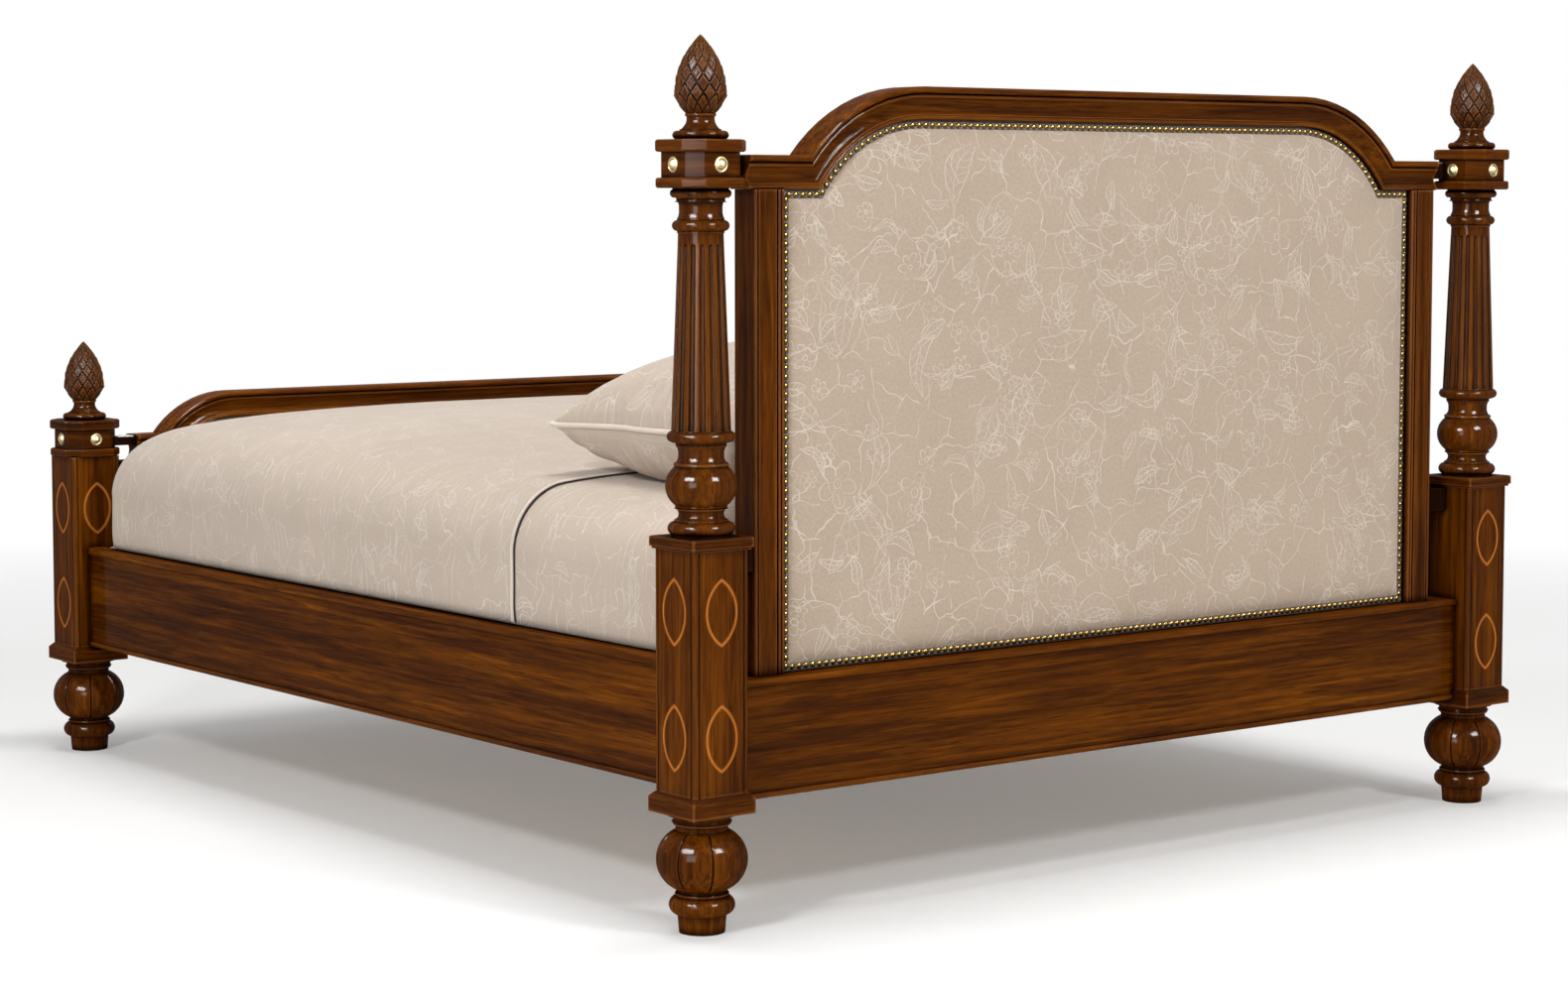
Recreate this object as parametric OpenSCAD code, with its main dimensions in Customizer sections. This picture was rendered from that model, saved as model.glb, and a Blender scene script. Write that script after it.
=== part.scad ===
// Upholstered bed with turned posts, an arched headboard and footboard,
// nailed panels, inlaid ovals and carved pine cone finials.
// Millimetres. The origin is the middle of the footprint on the floor,
// +Z is up and the head of the bed is at +Y.

/* [Bed size] */
// Distance between the post centres across the bed
post_span_x = 1813; // [1500:1:2000]
// Distance between the post centres along the bed
post_span_y = 2158; // [1950:1:2400]

/* [Post stack] */
// Height of the turned bun foot
foot_h = 190.5; // [175:0.5:220]
// Height of the plinth under the square block
plinth_h = 32; // [24:0.5:40]
// Side of the plinth
plinth_w = 121; // [118:0.5:128]
// Side of the square block
block_w = 105; // [100:0.5:110]
// Height of the head post's square block
head_block_h = 384; // [370:1:420]
// Height of the foot post's square block
foot_block_h = 395; // [380:1:430]
// Height of the cap on the head post's block
cap_h = 20; // [16:0.5:28]
// Side of that cap
cap_w = 117.5; // [114:0.5:124]
// Height of the turned and fluted column
column_h = 542; // [440:1:640]
// Height of the carved finial with its turned base
finial_h = 163; // [140:0.5:190]

/* [Turned feet] */
// Greatest radius of the bun
bun_r = 72.5; // [64:0.5:76]
// Radius of the ring below the bun
foot_ring_r = 52.5; // [48:0.5:56]
// Radius of the toe on the floor
toe_r = 36.5; // [32:0.5:40]
// Height of the toe
toe_h = 29; // [22:0.5:34]
// Number of grooves carved down the bun
bun_grooves = 8; // [6:1:12]
// Depth of those grooves
bun_groove_depth = 2.5; // [1.5:0.1:3.5]

/* [Columns] */
// Radius of the fluted shaft at its foot
shaft_r_low = 47; // [44:0.5:50]
// Radius of the fluted shaft at its top
shaft_r_top = 35.5; // [33:0.5:38]
// Number of flutes
flutes = 16; // [12:1:18]
// Radius of a flute at the shaft's foot
flute_r = 5.6; // [4.5:0.25:6.5]
// Greatest radius of the vase ball
vase_r = 56.5; // [52:0.5:60]

/* [Collars] */
// Width of the collar block between its flats
collar_w = 106; // [102:0.5:112]
// Height of the collar block
collar_h = 40; // [36:0.5:48]
// Width of the collar's two slabs
slab_w = 124; // [120:0.5:130]
// Height of the lower slab
slab_low_h = 16; // [14:0.5:20]
// Height of the upper slab
slab_top_h = 19; // [16:0.5:24]
// Radius of a brass boss
boss_r = 12.3; // [9:0.1:13]

/* [Finials] */
// Greatest radius of the pine cone
cone_r = 38.5; // [36:0.5:46]
// Scales around the pine cone
cone_scales = 12; // [8:1:14]
// Half rows of scales up the pine cone
cone_rows = 8; // [6:1:12]
// How far a scale stands out
scale_lift = 4.2; // [2:0.1:5]

/* [Inlaid ovals] */
// Width of an oval
oval_w = 62; // [50:0.5:70]
// Height of an oval
oval_h = 108; // [90:1:120]
// Width of the inlaid line
oval_line = 4.4; // [3:0.1:6]
// Height of the lower oval's middle above the block's foot
oval_low_z = 90; // [80:1:100]
// Height of the upper oval's middle above the block's foot
oval_high_z = 288; // [270:1:300]

/* [Boards at head and foot] */
// Thickness of the arched crown moulding
crown_t = 61; // [56:0.5:66]
// Width of the crown moulding from its outer to its inner edge
crown_w = 54; // [50:0.5:58]
// Thickness of the stiles
stile_t = 55; // [50:0.5:55]
// Width of the stiles
stile_w = 61.5; // [55:0.5:70]
// How far the crown's shoulder passes the stile
stile_inset = 9.5; // [4:0.5:16]
// Open gap between the crown's shoulder and the post
shoulder_gap = 43; // [36:0.5:50]
// How far the boards' middle plane lies inside the post centres
board_inset = 26.5; // [22:0.5:28]
// Height of the head shoulder's top above the collar's underside
head_shoulder_rise = 52.5; // [48:0.5:55]
// Rise of the head crown above its shoulder
head_rise = 114; // [90:1:140]
// Radius of the head crown's arcs
head_arc_r = 314; // [280:1:340]
// Length of the head crown's shoulder
head_shoulder_len = 120; // [105:1:135]
// Height of the foot shoulder's top above the collar's underside
foot_shoulder_rise = 41; // [38:0.5:50]
// Rise of the foot crown above its shoulder
foot_rise = 83; // [70:1:100]
// Radius of the foot crown's arcs
foot_arc_r = 212; // [190:1:240]
// Length of the foot crown's shoulder
foot_shoulder_len = 60; // [50:1:75]

/* [Bottom rails] */
// Height of the head and foot bottom rails
end_rail_h = 191; // [175:1:205]
// Thickness of the head and foot bottom rails
end_rail_t = 68; // [62:0.5:70]
// How far the bottom rail's outer face lies outside the post centres
end_rail_out = 20; // [16:0.5:24]
// How far the bottom rail reaches below the plinth's top
end_rail_drop = 19.5; // [14:0.5:24]

/* [Side rails] */
// Height of the side rails
side_rail_h = 206; // [190:1:220]
// Thickness of the side rails
side_rail_t = 28; // [24:0.5:32]
// How far the side rail's outer face lies outside the post centres
side_rail_out = 18; // [14:0.5:22]
// How far the moulded edges stand out from the rails
edge_out = 5; // [3:0.5:6]
// Height of the moulded top edge of the side rails
edge_top_h = 16; // [12:0.5:20]
// Height of the moulded bottom edge of the rails
edge_low_h = 10; // [8:0.5:14]

/* [Slatted base] */
// Depth of the cleats below the side rails' top
cleat_drop = 150; // [135:1:165]
// Width of the cleats
cleat_w = 28; // [22:1:34]
// Height of the cleats
cleat_h = 32; // [26:1:40]
// Number of slats
slats = 13; // [9:1:15]
// Width of a slat
slat_w = 90; // [70:1:100]
// Thickness of a slat
slat_t = 20; // [16:0.5:24]
// Width of the centre beam
beam_w = 45; // [38:1:60]
// Height of the centre beam
beam_h = 62; // [50:1:70]
// Width of the leg under the middle of the beam
leg_w = 44; // [38:1:50]

/* [Panels] */
// Thickness of the panel that carries the upholstery
core_t = 18; // [15:0.5:20]
// Depth of the panel's edge in the frame's grooves
core_in = 9; // [6:0.5:10]
// Width of the flat nailed edge of a pad
pad_edge_w = 12; // [9:0.5:16]
// Thickness of that edge
pad_edge_t = 5; // [4:0.5:7]
// Height of a pad's crown above its edge
pad_crown = 14; // [8:0.5:16]

/* [Bedding] */
// Distance that the mattress reaches over each side rail
mattress_over = 11.5; // [0:0.5:14]
// Height of the mattress in its middle
mattress_h = 272; // [220:1:300]
// Height that the mattress top gains from its edge to its middle
mattress_crown = 52; // [30:1:60]
// Radius of the mattress's rolled edge
mattress_roll = 100; // [70:1:110]
// Radius of the mattress's corners seen from above
mattress_corner = 85; // [60:1:110]
// Thickness of the coverlet
coverlet_t = 5.5; // [4:0.5:6]
// Distance of the coverlet's hem from the middle of the bed towards the head
coverlet_hem = 545; // [450:1:620]
// Width of a pillow
pillow_w = 768; // [660:4:800]
// Depth of a pillow
pillow_d = 520; // [480:5:540]
// Height of a pillow's top over its seam
pillow_t = 146; // [110:1:160]
// Depth of a pillow's underside below its seam
pillow_under = 114; // [90:1:125]
// Gap between the two pillows
pillow_gap = 24; // [16:1:60]
// Gap between the pillows and the headboard's crown
pillow_back_gap = 30; // [15:1:60]

/* [Hidden] */
$fn = 64;

// Colours of the woods, metals and fabrics
walnut = "#5c3218";
dark_walnut = "#3a1f10";
inlay_wood = "#b56f30";
brass_tone = "#c0a055";
steel_tone = "#8c8c90";
pine = "#c9a878";
linen = "#cdbda9";
sheet_linen = "#c8b7a2";

// Small clearances: a glued fit, a loose fit and a soft piece's fit
fit = 0.15;
loose = 0.5;
soft_gap = 0.4;
eps = 0.01;

// Distances of the post centres from the middle of the bed
half_x = post_span_x / 2;
half_y = post_span_y / 2;

// Levels up the posts
plinth_z = foot_h;
block_z = plinth_z + plinth_h;
head_cap_z = block_z + head_block_h;
column_z = head_cap_z + cap_h;
head_collar_z = column_z + column_h;
foot_collar_z = block_z + foot_block_h;
collar_stack_h = slab_low_h + collar_h + slab_top_h;

// Dowels that join the turned pieces
dowel_r = 13;
dowel_in = 30;
finial_dowel_r = 8;
finial_dowel_in = 24;

// Head and foot boards
board_y = half_y - board_inset;
post_inner_x = half_x - block_w / 2;
shoulder_end_x = post_inner_x - shoulder_gap;
stile_out_x = shoulder_end_x - stile_inset;
stile_in_x = stile_out_x - stile_w;
end_rail_z = block_z - end_rail_drop;
end_rail_top = end_rail_z + end_rail_h;
end_rail_face_y = half_y + end_rail_out;
end_rail_mid_y = end_rail_face_y - end_rail_t / 2;
head_shoulder_z = head_collar_z + head_shoulder_rise;
foot_shoulder_z = foot_collar_z + foot_shoulder_rise;

// Side rails and base
side_face_x = half_x + side_rail_out;
side_inner_x = side_face_x - side_rail_t;
side_rail_lift = 1.2;
side_rail_z = block_z + side_rail_lift;
side_rail_top = side_rail_z + side_rail_h;
rail_end_y = half_y - block_w / 2 - loose;
cleat_top = side_rail_top - cleat_drop;
slat_top = cleat_top + slat_t;
beam_end_y = end_rail_face_y - end_rail_t - 1;
foundation_proud = 2;
foundation_top = side_rail_top + foundation_proud;

// Bedding
mattress_z = foundation_top + soft_gap;
mattress_top = mattress_z + mattress_h;
board_face_y = board_y - crown_t / 2;
board_clear = 4;
mattress_half_y = board_face_y - coverlet_t - board_clear;
mattress_half_x = side_inner_x + mattress_over;
pillow_mid_x = (pillow_w + pillow_gap) / 2;
pillow_mid_y = board_face_y - pillow_back_gap - pillow_d / 2;
pillow_edge_rise = 61;
pillow_edge_z = mattress_top + pillow_edge_rise;

// A crown's figures: shoulder top, rise, arc radius, shoulder length
head_arch = [head_shoulder_z, head_rise, head_arc_r, head_shoulder_len];
foot_arch = [foot_shoulder_z, foot_rise, foot_arc_r, foot_shoulder_len];
function arch_top(a) = a[0] + a[1];
function arch_cz(a) = a[0] + a[1] - a[2];
function arch_foot_x(a) = shoulder_end_x - a[3];
function arch_cx(a) = arch_foot_x(a) - sqrt(a[2] * a[2] - pow(a[2] - a[1], 2));

// Closed loft through rings of points, each end closed round its middle
function mean_point(ring) = [for (k = [0:2])
    [for (p = ring) p[k]] * [for (p = ring) 1] / len(ring)];
module ring_loft(rings) {
    n = len(rings[0]);
    m = len(rings);
    points = concat([for (ring = rings) for (p = ring) p],
        [mean_point(rings[0]), mean_point(rings[m - 1])]);
    faces = concat(
        [for (j = [0:m - 2]) for (i = [0:n - 1]) let (k = (i + 1) % n)
            each [[j * n + i, (j + 1) * n + i, (j + 1) * n + k],
                [j * n + i, (j + 1) * n + k, j * n + k]]],
        [for (i = [0:n - 1]) [n * m, i, (i + 1) % n]],
        [for (i = [0:n - 1]) [n * m + 1, (m - 1) * n + (i + 1) % n, (m - 1) * n + i]]);
    polyhedron(points = points, faces = faces, convexity = 6);
}

// A half round bead on a turned profile: outer radius, height of its middle, bead radius
module bead(outer, z, r) {
    translate([outer - r, z]) circle(r);
    translate([0, z - r]) square([outer - r, 2 * r]);
}

// A plain band on a turned profile
module band(r, z0, z1) translate([0, z0]) square([r, z1 - z0]);

// A hollow between two levels of a turned profile, cut from a band of radius r
module hollow(r, z0, z1, depth) {
    h = (z1 - z0) / 2;
    cr = (h * h + depth * depth) / (2 * depth);
    difference() {
        band(r, z0, z1);
        translate([r - depth + cr, z0 + h]) circle(cr);
    }
}

// A hollow flare on a turned profile, from radius r0 up to r1, bowed in by depth
flare_steps = 10;
module flare(r0, r1, z0, z1, depth) {
    polygon(concat([[0, z1], [0, z0]], [for (i = [0:flare_steps]) let (t = i / flare_steps)
        [r0 + (r1 - r0) * t - depth * sin(180 * t), z0 + (z1 - z0) * t]]));
}

module square_slab(w, h) translate([-w / 2, -w / 2, 0]) cube([w, w, h]);

// Square slab whose top edge is bevelled
module bevelled_slab(w, h, bevel) {
    side = [[-w / 2, 0], [w / 2, 0], [w / 2, h - bevel], [w / 2 - bevel, h],
        [-w / 2 + bevel, h], [-w / 2, h - bevel]];
    intersection() {
        rotate([90, 0, 0]) translate([0, 0, -w / 2]) linear_extrude(w) polygon(side);
        rotate([90, 0, 90]) translate([0, 0, -w / 2]) linear_extrude(w) polygon(side);
    }
}

// Square with cut corners
module cut_square(w, cut) polygon([[w / 2, -w / 2 + cut], [w / 2, w / 2 - cut],
    [w / 2 - cut, w / 2], [-w / 2 + cut, w / 2], [-w / 2, w / 2 - cut],
    [-w / 2, -w / 2 + cut], [-w / 2 + cut, -w / 2], [w / 2 - cut, -w / 2]]);

// Eight sided slab with its upper and lower edges eased
module collar_slab(w, h) {
    cut = w * 0.22;
    ease = 2.5;
    s = (w - 2 * ease) / w;
    translate([0, 0, ease]) linear_extrude(h - 2 * ease) cut_square(w, cut);
    translate([0, 0, h - ease]) linear_extrude(ease, scale = s) cut_square(w, cut);
    translate([0, 0, ease]) mirror([0, 0, 1])
        linear_extrude(ease, scale = s) cut_square(w, cut);
}

// Turned bun foot with carved grooves and a dowel on top
ring_bead_r = 15;
foot_waist_r = 39;
foot_waist_h = 7;
foot_neck_r = 41.5;
foot_neck_h = 24;
foot_neck_bead = 2.5;
foot_flare_h = 10;
foot_lip_r = 54;
foot_lip_h = 4;
groove_sweep = 124;
module bun_profile(bun_low, bun_top) {
    bun_bow = (bun_top - bun_low) / 2;
    bun_mid = bun_low + bun_bow;
    translate([bun_r - bun_bow, bun_mid]) intersection() {
        circle(bun_bow);
        translate([-bun_r + bun_bow, -bun_bow]) square([bun_r, 2 * bun_bow]);
    }
    band(bun_r - bun_bow, bun_low, bun_top);
}
module bun_foot() {
    ring_top = toe_h + 2 * ring_bead_r;
    bun_low = ring_top + foot_waist_h;
    bun_top = foot_h - foot_neck_h;
    bun_bow = (bun_top - bun_low) / 2;
    groove_y = bun_bow - bun_groove_depth;
    flare_low = foot_h - foot_lip_h - foot_flare_h;
    color(walnut) {
        difference() {
            rotate_extrude($fn = 96) bun_profile(bun_low - 1, bun_top + 1);
            for (i = [0:bun_grooves - 1]) rotate([90, 0, (i + 0.5) * 360 / bun_grooves])
                translate([bun_r - bun_bow, bun_low + bun_bow, 0])
                    rotate([0, 0, -groove_sweep / 2])
                        rotate_extrude(angle = groove_sweep, $fn = 96)
                            polygon([[groove_y, 0], [bun_bow + 6, -6], [bun_bow + 6, 6]]);
        }
        rotate_extrude($fn = 96) {
            polygon([[0, 0], [toe_r, 0], [toe_r + 2.5, toe_h], [0, toe_h]]);
            bead(foot_ring_r, toe_h + ring_bead_r, ring_bead_r);
            band(foot_ring_r - ring_bead_r + 1, toe_h - 1, ring_top);
            bead(foot_waist_r + 4, ring_top + 2.5, 3);
            band(foot_waist_r, ring_top, bun_low + 5);
            band(foot_neck_r, bun_top - 5, flare_low);
            bead(foot_neck_r + 4.5, flare_low - foot_neck_bead, foot_neck_bead);
            hollow(foot_lip_r, flare_low, foot_h - foot_lip_h, 9);
            band(foot_lip_r, foot_h - foot_lip_h, foot_h);
        }
        cylinder(r = dowel_r, h = foot_h + plinth_h + dowel_in);
    }
}

module plinth() {
    color(walnut) difference() {
        bevelled_slab(plinth_w, plinth_h, 8);
        translate([0, 0, -1]) cylinder(r = dowel_r + fit, h = plinth_h + 2);
    }
}

// One oval ring, standing in the XZ plane and thick along Y
module oval_ring(grow, t) {
    bow = (oval_h * oval_h / 4 + oval_w * oval_w / 4) / oval_w;
    off = bow - oval_w / 2;
    rotate([90, 0, 0]) translate([0, 0, -t / 2]) linear_extrude(t) difference() {
        intersection() {
            translate([-off, 0]) circle(bow + grow, $fn = 120);
            translate([off, 0]) circle(bow + grow, $fn = 120);
        }
        intersection() {
            translate([-off, 0]) circle(bow - oval_line - grow, $fn = 120);
            translate([off, 0]) circle(bow - oval_line - grow, $fn = 120);
        }
    }
}
oval_depth = 2;
// Ovals of a post: turn about the post's axis and height, for a post with
// outer side sx and end side sy. The end that faces the mattress has the upper one.
function oval_places(sx, sy) = [
    [sx > 0 ? 90 : -90, oval_low_z], [sx > 0 ? 90 : -90, oval_high_z],
    [sy > 0 ? 180 : 0, oval_low_z], [sy > 0 ? 180 : 0, oval_high_z],
    [sy > 0 ? 0 : 180, oval_high_z]];
module ovals(sx, sy, grow, depth, proud) {
    for (o = oval_places(sx, sy)) rotate([0, 0, o[0]])
        translate([0, -block_w / 2 + (depth - proud) / 2, o[1]])
            oval_ring(grow, depth + proud);
}

// Square post block with rounded, beaded corners
corner_bead_r = 4.5;
bead_groove = 1.8;
module block_outline() {
    q = block_w / 2 - corner_bead_r;
    difference() {
        union() {
            square([block_w, 2 * q], center = true);
            square([2 * q, block_w], center = true);
            for (x = [-q, q]) for (y = [-q, q]) translate([x, y]) circle(corner_bead_r);
        }
        for (a = [0:90:270]) rotate(a) for (s = [-1, 1])
            translate([s * (block_w / 2 - 2 * corner_bead_r), -block_w / 2])
                circle(bead_groove, $fn = 24);
    }
}

// Steel bed hooks between the side rails and the posts
hook_plate_w = 20;
hook_plate_h = 130;
hook_plate_t = 3;
hook_in = 16;
hook_t = 4;
hook_h = 30;
hook_spacing = 70;
hook_z = side_rail_z + side_rail_h / 2;
hook_x = side_face_x - side_rail_t / 2;
tenon_t = 36;
tenon_h = 130;
tenon_in = 30;

module post_block(sx, sy, h, top_bore) {
    keeper_x = hook_x - half_x;
    rail_y = end_rail_mid_y - half_y;
    if (!top_bore) color(walnut) translate([0, 0, h - 1])
        cylinder(r = dowel_r, h = finial_dowel_in - 1);
    color(walnut) difference() {
        linear_extrude(h) block_outline();
        ovals(sx, sy, 0, oval_depth, 2);
        translate([0, 0, -1]) cylinder(r = dowel_r + fit, h = dowel_in + 2);
        if (top_bore) translate([0, 0, h - dowel_in - 1])
            cylinder(r = dowel_r + fit, h = dowel_in + 2);
        // mortise for the bottom rail
        translate([-sx * (block_w / 2 - tenon_in / 2), sy * rail_y,
            end_rail_z + end_rail_h / 2 + 8 - block_z])
            cube([tenon_in + 2, tenon_t + 2 * fit, tenon_h + 2 * fit], center = true);
        // seat of the keeper plate, with room behind it for the hooks
        translate([sx * keeper_x, -sy * block_w / 2, hook_z - block_z]) {
            cube([hook_plate_w + 2 * fit, 2 * hook_plate_t, hook_plate_h + 2 * fit],
                center = true);
            for (k = [-1, 1]) translate([0, 0, k * hook_spacing / 2])
                cube([hook_t + 6, 2 * (hook_plate_t + hook_in + 2), hook_h + 16],
                    center = true);
        }
    }
}

module block_cap() {
    step = 4;
    color(walnut) difference() {
        union() {
            square_slab(cap_w - 6, cap_h);
            translate([0, 0, step]) bevelled_slab(cap_w, cap_h - step, 2);
        }
        translate([0, 0, -1]) cylinder(r = dowel_r + fit, h = cap_h + 2);
    }
}

// Turned column: base mouldings, vase ball, ring, fluted shaft and neck
shaft_low = 165;
neck_h = 70;
base_r = 47;
base_lip_h = 4;
torus_r = 53;
torus_bead = 10.5;
fillet_r = 42.5;
fillet_h = 3;
scotia_h = 18;
vase_low = 49;
vase_h = 60;
vase_bow = 38;
upper_neck_r = 40;
foot_ring_bead = 8.5;
foot_ring_seat = 46;
top_ring_r = 45;
neck_r = 36;
necking_r = 41;
capital_r = 48;
capital_bead = 7;
flute_out = 0.18;
flute_taper = 0.8;
module flute(length) {
    top_r = flute_r * flute_taper;
    translate([0, 0, -2]) cylinder(r1 = flute_r, r2 = top_r, h = length + 2, $fn = 32);
    translate([0, 0, length]) sphere(top_r, $fn = 32);
}
module column() {
    shaft_top = column_h - neck_h;
    shaft_h = shaft_top - shaft_low;
    lean = atan((shaft_r_low - shaft_r_top) / shaft_h);
    torus_top = base_lip_h + 2 * torus_bead - 2;
    scotia_z = torus_top + fillet_h;
    vase_top = vase_low + vase_h;
    color(walnut) {
        difference() {
            translate([0, 0, shaft_low])
                cylinder(r1 = shaft_r_low, r2 = shaft_r_top, h = shaft_h, $fn = 96);
            for (i = [0:flutes - 1]) rotate([0, 0, (i + 0.5) * 360 / flutes])
                translate([shaft_r_low + flute_r * flute_out, 0, shaft_low])
                    rotate([0, -lean, 0]) flute(shaft_h - 2.5 * flute_r - 6);
        }
        rotate_extrude($fn = 96) {
            // base: lip, torus, fillet and scotia
            band(base_r, 0, base_lip_h);
            bead(torus_r, base_lip_h + torus_bead - 2, torus_bead);
            band(fillet_r, torus_top - 3, scotia_z);
            hollow(fillet_r, scotia_z, scotia_z + scotia_h, 7);
            bead(fillet_r - 1.5, vase_low - 2, 3);
            // vase ball with a small bead on top
            intersection() {
                translate([vase_r - vase_bow, vase_low + vase_h / 2]) circle(vase_bow, $fn = 120);
                band(vase_r + 1, vase_low, vase_top);
            }
            band(vase_r - vase_bow + 1, vase_low, vase_top);
            bead(upper_neck_r + 3.5, vase_top + 3, 3.5);
            // neck and ring under the shaft
            band(neck_r, vase_top, shaft_low - 17);
            hollow(upper_neck_r, vase_top + 6, shaft_low - 23, 4.5);
            band(upper_neck_r, shaft_low - 24, shaft_low - 18);
            bead(foot_ring_seat + foot_ring_bead - 0.5, shaft_low - 9, foot_ring_bead);
            band(foot_ring_seat, shaft_low - 18, shaft_low + 1);
            // ring, neck and capital above the shaft
            band(neck_r - 2, shaft_top - 1, column_h);
            bead(top_ring_r, shaft_top + 12, foot_ring_bead);
            band(neck_r + 1, shaft_top, shaft_top + 24);
            hollow(neck_r, shaft_top + 24, column_h - 20, 2.4);
            hollow(necking_r, column_h - 22, column_h - 14, 3);
            band(capital_r - 4, column_h - 15, column_h);
            bead(capital_r, column_h - capital_bead - 1, capital_bead);
        }
        translate([0, 0, -cap_h - dowel_in + 1])
            cylinder(r = dowel_r, h = cap_h + dowel_in + column_h + finial_dowel_in - 3);
    }
}

// Eight sided collar with a recess for a boss on each flat
boss_recess = 1.5;
module collar(sx, sy, head) {
    crown_tenon_z = head ? tenon_head_z : tenon_foot_z;
    collar_z = head ? head_collar_z : foot_collar_z;
    color(walnut) difference() {
        union() {
            collar_slab(slab_w - 1, slab_low_h);
            translate([0, 0, slab_low_h - 0.5]) linear_extrude(collar_h + 1)
                cut_square(collar_w, collar_w * 0.205);
            translate([0, 0, slab_low_h + collar_h]) collar_slab(slab_w, slab_top_h);
        }
        for (a = [0:90:270]) rotate([0, 0, a])
            translate([0, -collar_w / 2, slab_low_h + collar_h / 2]) rotate([90, 0, 0])
                translate([0, 0, -boss_recess]) cylinder(r = boss_r + 2, h = 5);
        // bore for the dowel below and the finial's dowel above
        translate([0, 0, -1]) cylinder(r = dowel_r + fit, h = finial_dowel_in + 1);
        translate([0, 0, collar_stack_h - finial_dowel_in])
            cylinder(r = finial_dowel_r + fit, h = finial_dowel_in + 1);
        // mortise for the crown's tenon
        translate([-sx * half_x, -sy * half_y, -collar_z])
            crown_tenon(sx, sy, crown_tenon_z, fit);
    }
}

// Loose tenon between a crown's shoulder and the collar
crown_tenon_t = 26;
crown_tenon_in = 14;
tenon_head_z = [max(head_collar_z + slab_low_h, head_shoulder_z - crown_w) + 4,
    min(head_collar_z + slab_low_h + collar_h, head_shoulder_z) - 4];
tenon_foot_z = [max(foot_collar_z + slab_low_h, foot_shoulder_z - crown_w) + 4,
    min(foot_collar_z + slab_low_h + collar_h, foot_shoulder_z) - 4];
tenon_y = half_y - boss_r - 5 - crown_tenon_t / 2;
module crown_tenon(sx, sy, z, grow) {
    x0 = shoulder_end_x - crown_tenon_in;
    x1 = half_x - collar_w / 2 + crown_tenon_in;
    translate([sx * (x0 + x1) / 2, sy * tenon_y, (z[0] + z[1]) / 2])
        cube([x1 - x0 + 2 * grow, crown_tenon_t + 2 * grow, z[1] - z[0] + 2 * grow],
            center = true);
}
module crown_tenons(sy, z) color(dark_walnut) for (sx = [-1, 1]) crown_tenon(sx, sy, z, 0);

// Steel plate screwed on top of each tenon
bracket_t = 2;
module crown_brackets() {
    color(steel_tone) for (sx = [-1, 1]) for (e = [[1, tenon_head_z], [-1, tenon_foot_z]])
        translate([sx * (shoulder_end_x + shoulder_gap / 2), e[0] * tenon_y, e[1][1]]) {
            translate([0, 0, bracket_t / 2]) cube([shoulder_gap - 8, 18, bracket_t],
                center = true);
            for (k = [-1, 1]) translate([k * 9, 0, bracket_t - eps])
                cylinder(r1 = 4, r2 = 2.5, h = 1.5, $fn = 24);
        }
}

// Pine cone: rings of high and low points make pointed scales in spirals
cone_foot_r = 23;
cone_widest = 0.28;
function cone_profile(t) = t < cone_widest
    ? cone_r - (cone_r - cone_foot_r) * pow(1 - t / cone_widest, 2)
    : cone_r * (1 - pow((t - cone_widest) / (1 - cone_widest), 2.08));
module pine_cone(h) {
    n = 2 * cone_scales;
    rings = concat([for (j = [0:cone_rows]) let (t = 0.97 * j / cone_rows)
        [for (k = [0:n - 1]) let (high = (j + k) % 2 == 0,
            swell = high && j > 0 && j < cone_rows ? scale_lift * cone_profile(t) / cone_r : 0,
            r = max(cone_profile(t) + swell - scale_lift / 3, 1), a = k * 360 / n,
            up = high ? 0.22 * h / cone_rows : 0)
            [r * cos(a), r * sin(a), t * h + up]]],
        [[for (k = [0:n - 1]) let (a = k * 360 / n) [0.6 * cos(a), 0.6 * sin(a), h]]]);
    count = len(rings);
    points = concat([for (ring = rings) for (p = ring) p], [[0, 0, 0], [0, 0, h]]);
    faces = concat(
        [for (j = [0:count - 2]) for (k = [0:n - 1]) let (m = (k + 1) % n,
            a = j * n + k, b = j * n + m, c = (j + 1) * n + m, d = (j + 1) * n + k)
            each (j + k) % 2 == 0 ? [[a, d, b], [b, d, c]] : [[a, d, c], [a, c, b]]],
        [for (k = [0:n - 1]) [n * count, k, (k + 1) % n]],
        [for (k = [0:n - 1]) [n * count + 1, (count - 1) * n + (k + 1) % n,
            (count - 1) * n + k]]);
    polyhedron(points = points, faces = faces, convexity = 8);
}
// Base of the finial: torus, fillet, flared neck and ring
finial_base_h = 41;
finial_torus_r = 44;
finial_torus_bead = 6.8;
finial_fillet_r = 32.5;
finial_fillet_top = 16;
finial_neck_low_r = 30;
finial_neck_r = 22;
finial_ring_r = 24.5;
finial_ring_bead = 2.8;
module finial() {
    ring_low = finial_base_h - 2 * finial_ring_bead;
    color(walnut) {
        rotate_extrude($fn = 96) {
            bead(finial_torus_r, finial_torus_bead, finial_torus_bead);
            band(finial_fillet_r, finial_torus_bead, finial_fillet_top);
            flare(finial_neck_low_r, finial_neck_r, finial_fillet_top - eps, ring_low + 1, 3);
            bead(finial_ring_r, finial_base_h - finial_ring_bead, finial_ring_bead);
        }
        translate([0, 0, -finial_dowel_in + 2])
            cylinder(r = finial_dowel_r, h = finial_dowel_in + 30);
        translate([0, 0, finial_base_h - 1]) pine_cone(finial_h - finial_base_h + 1);
    }
}

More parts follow.
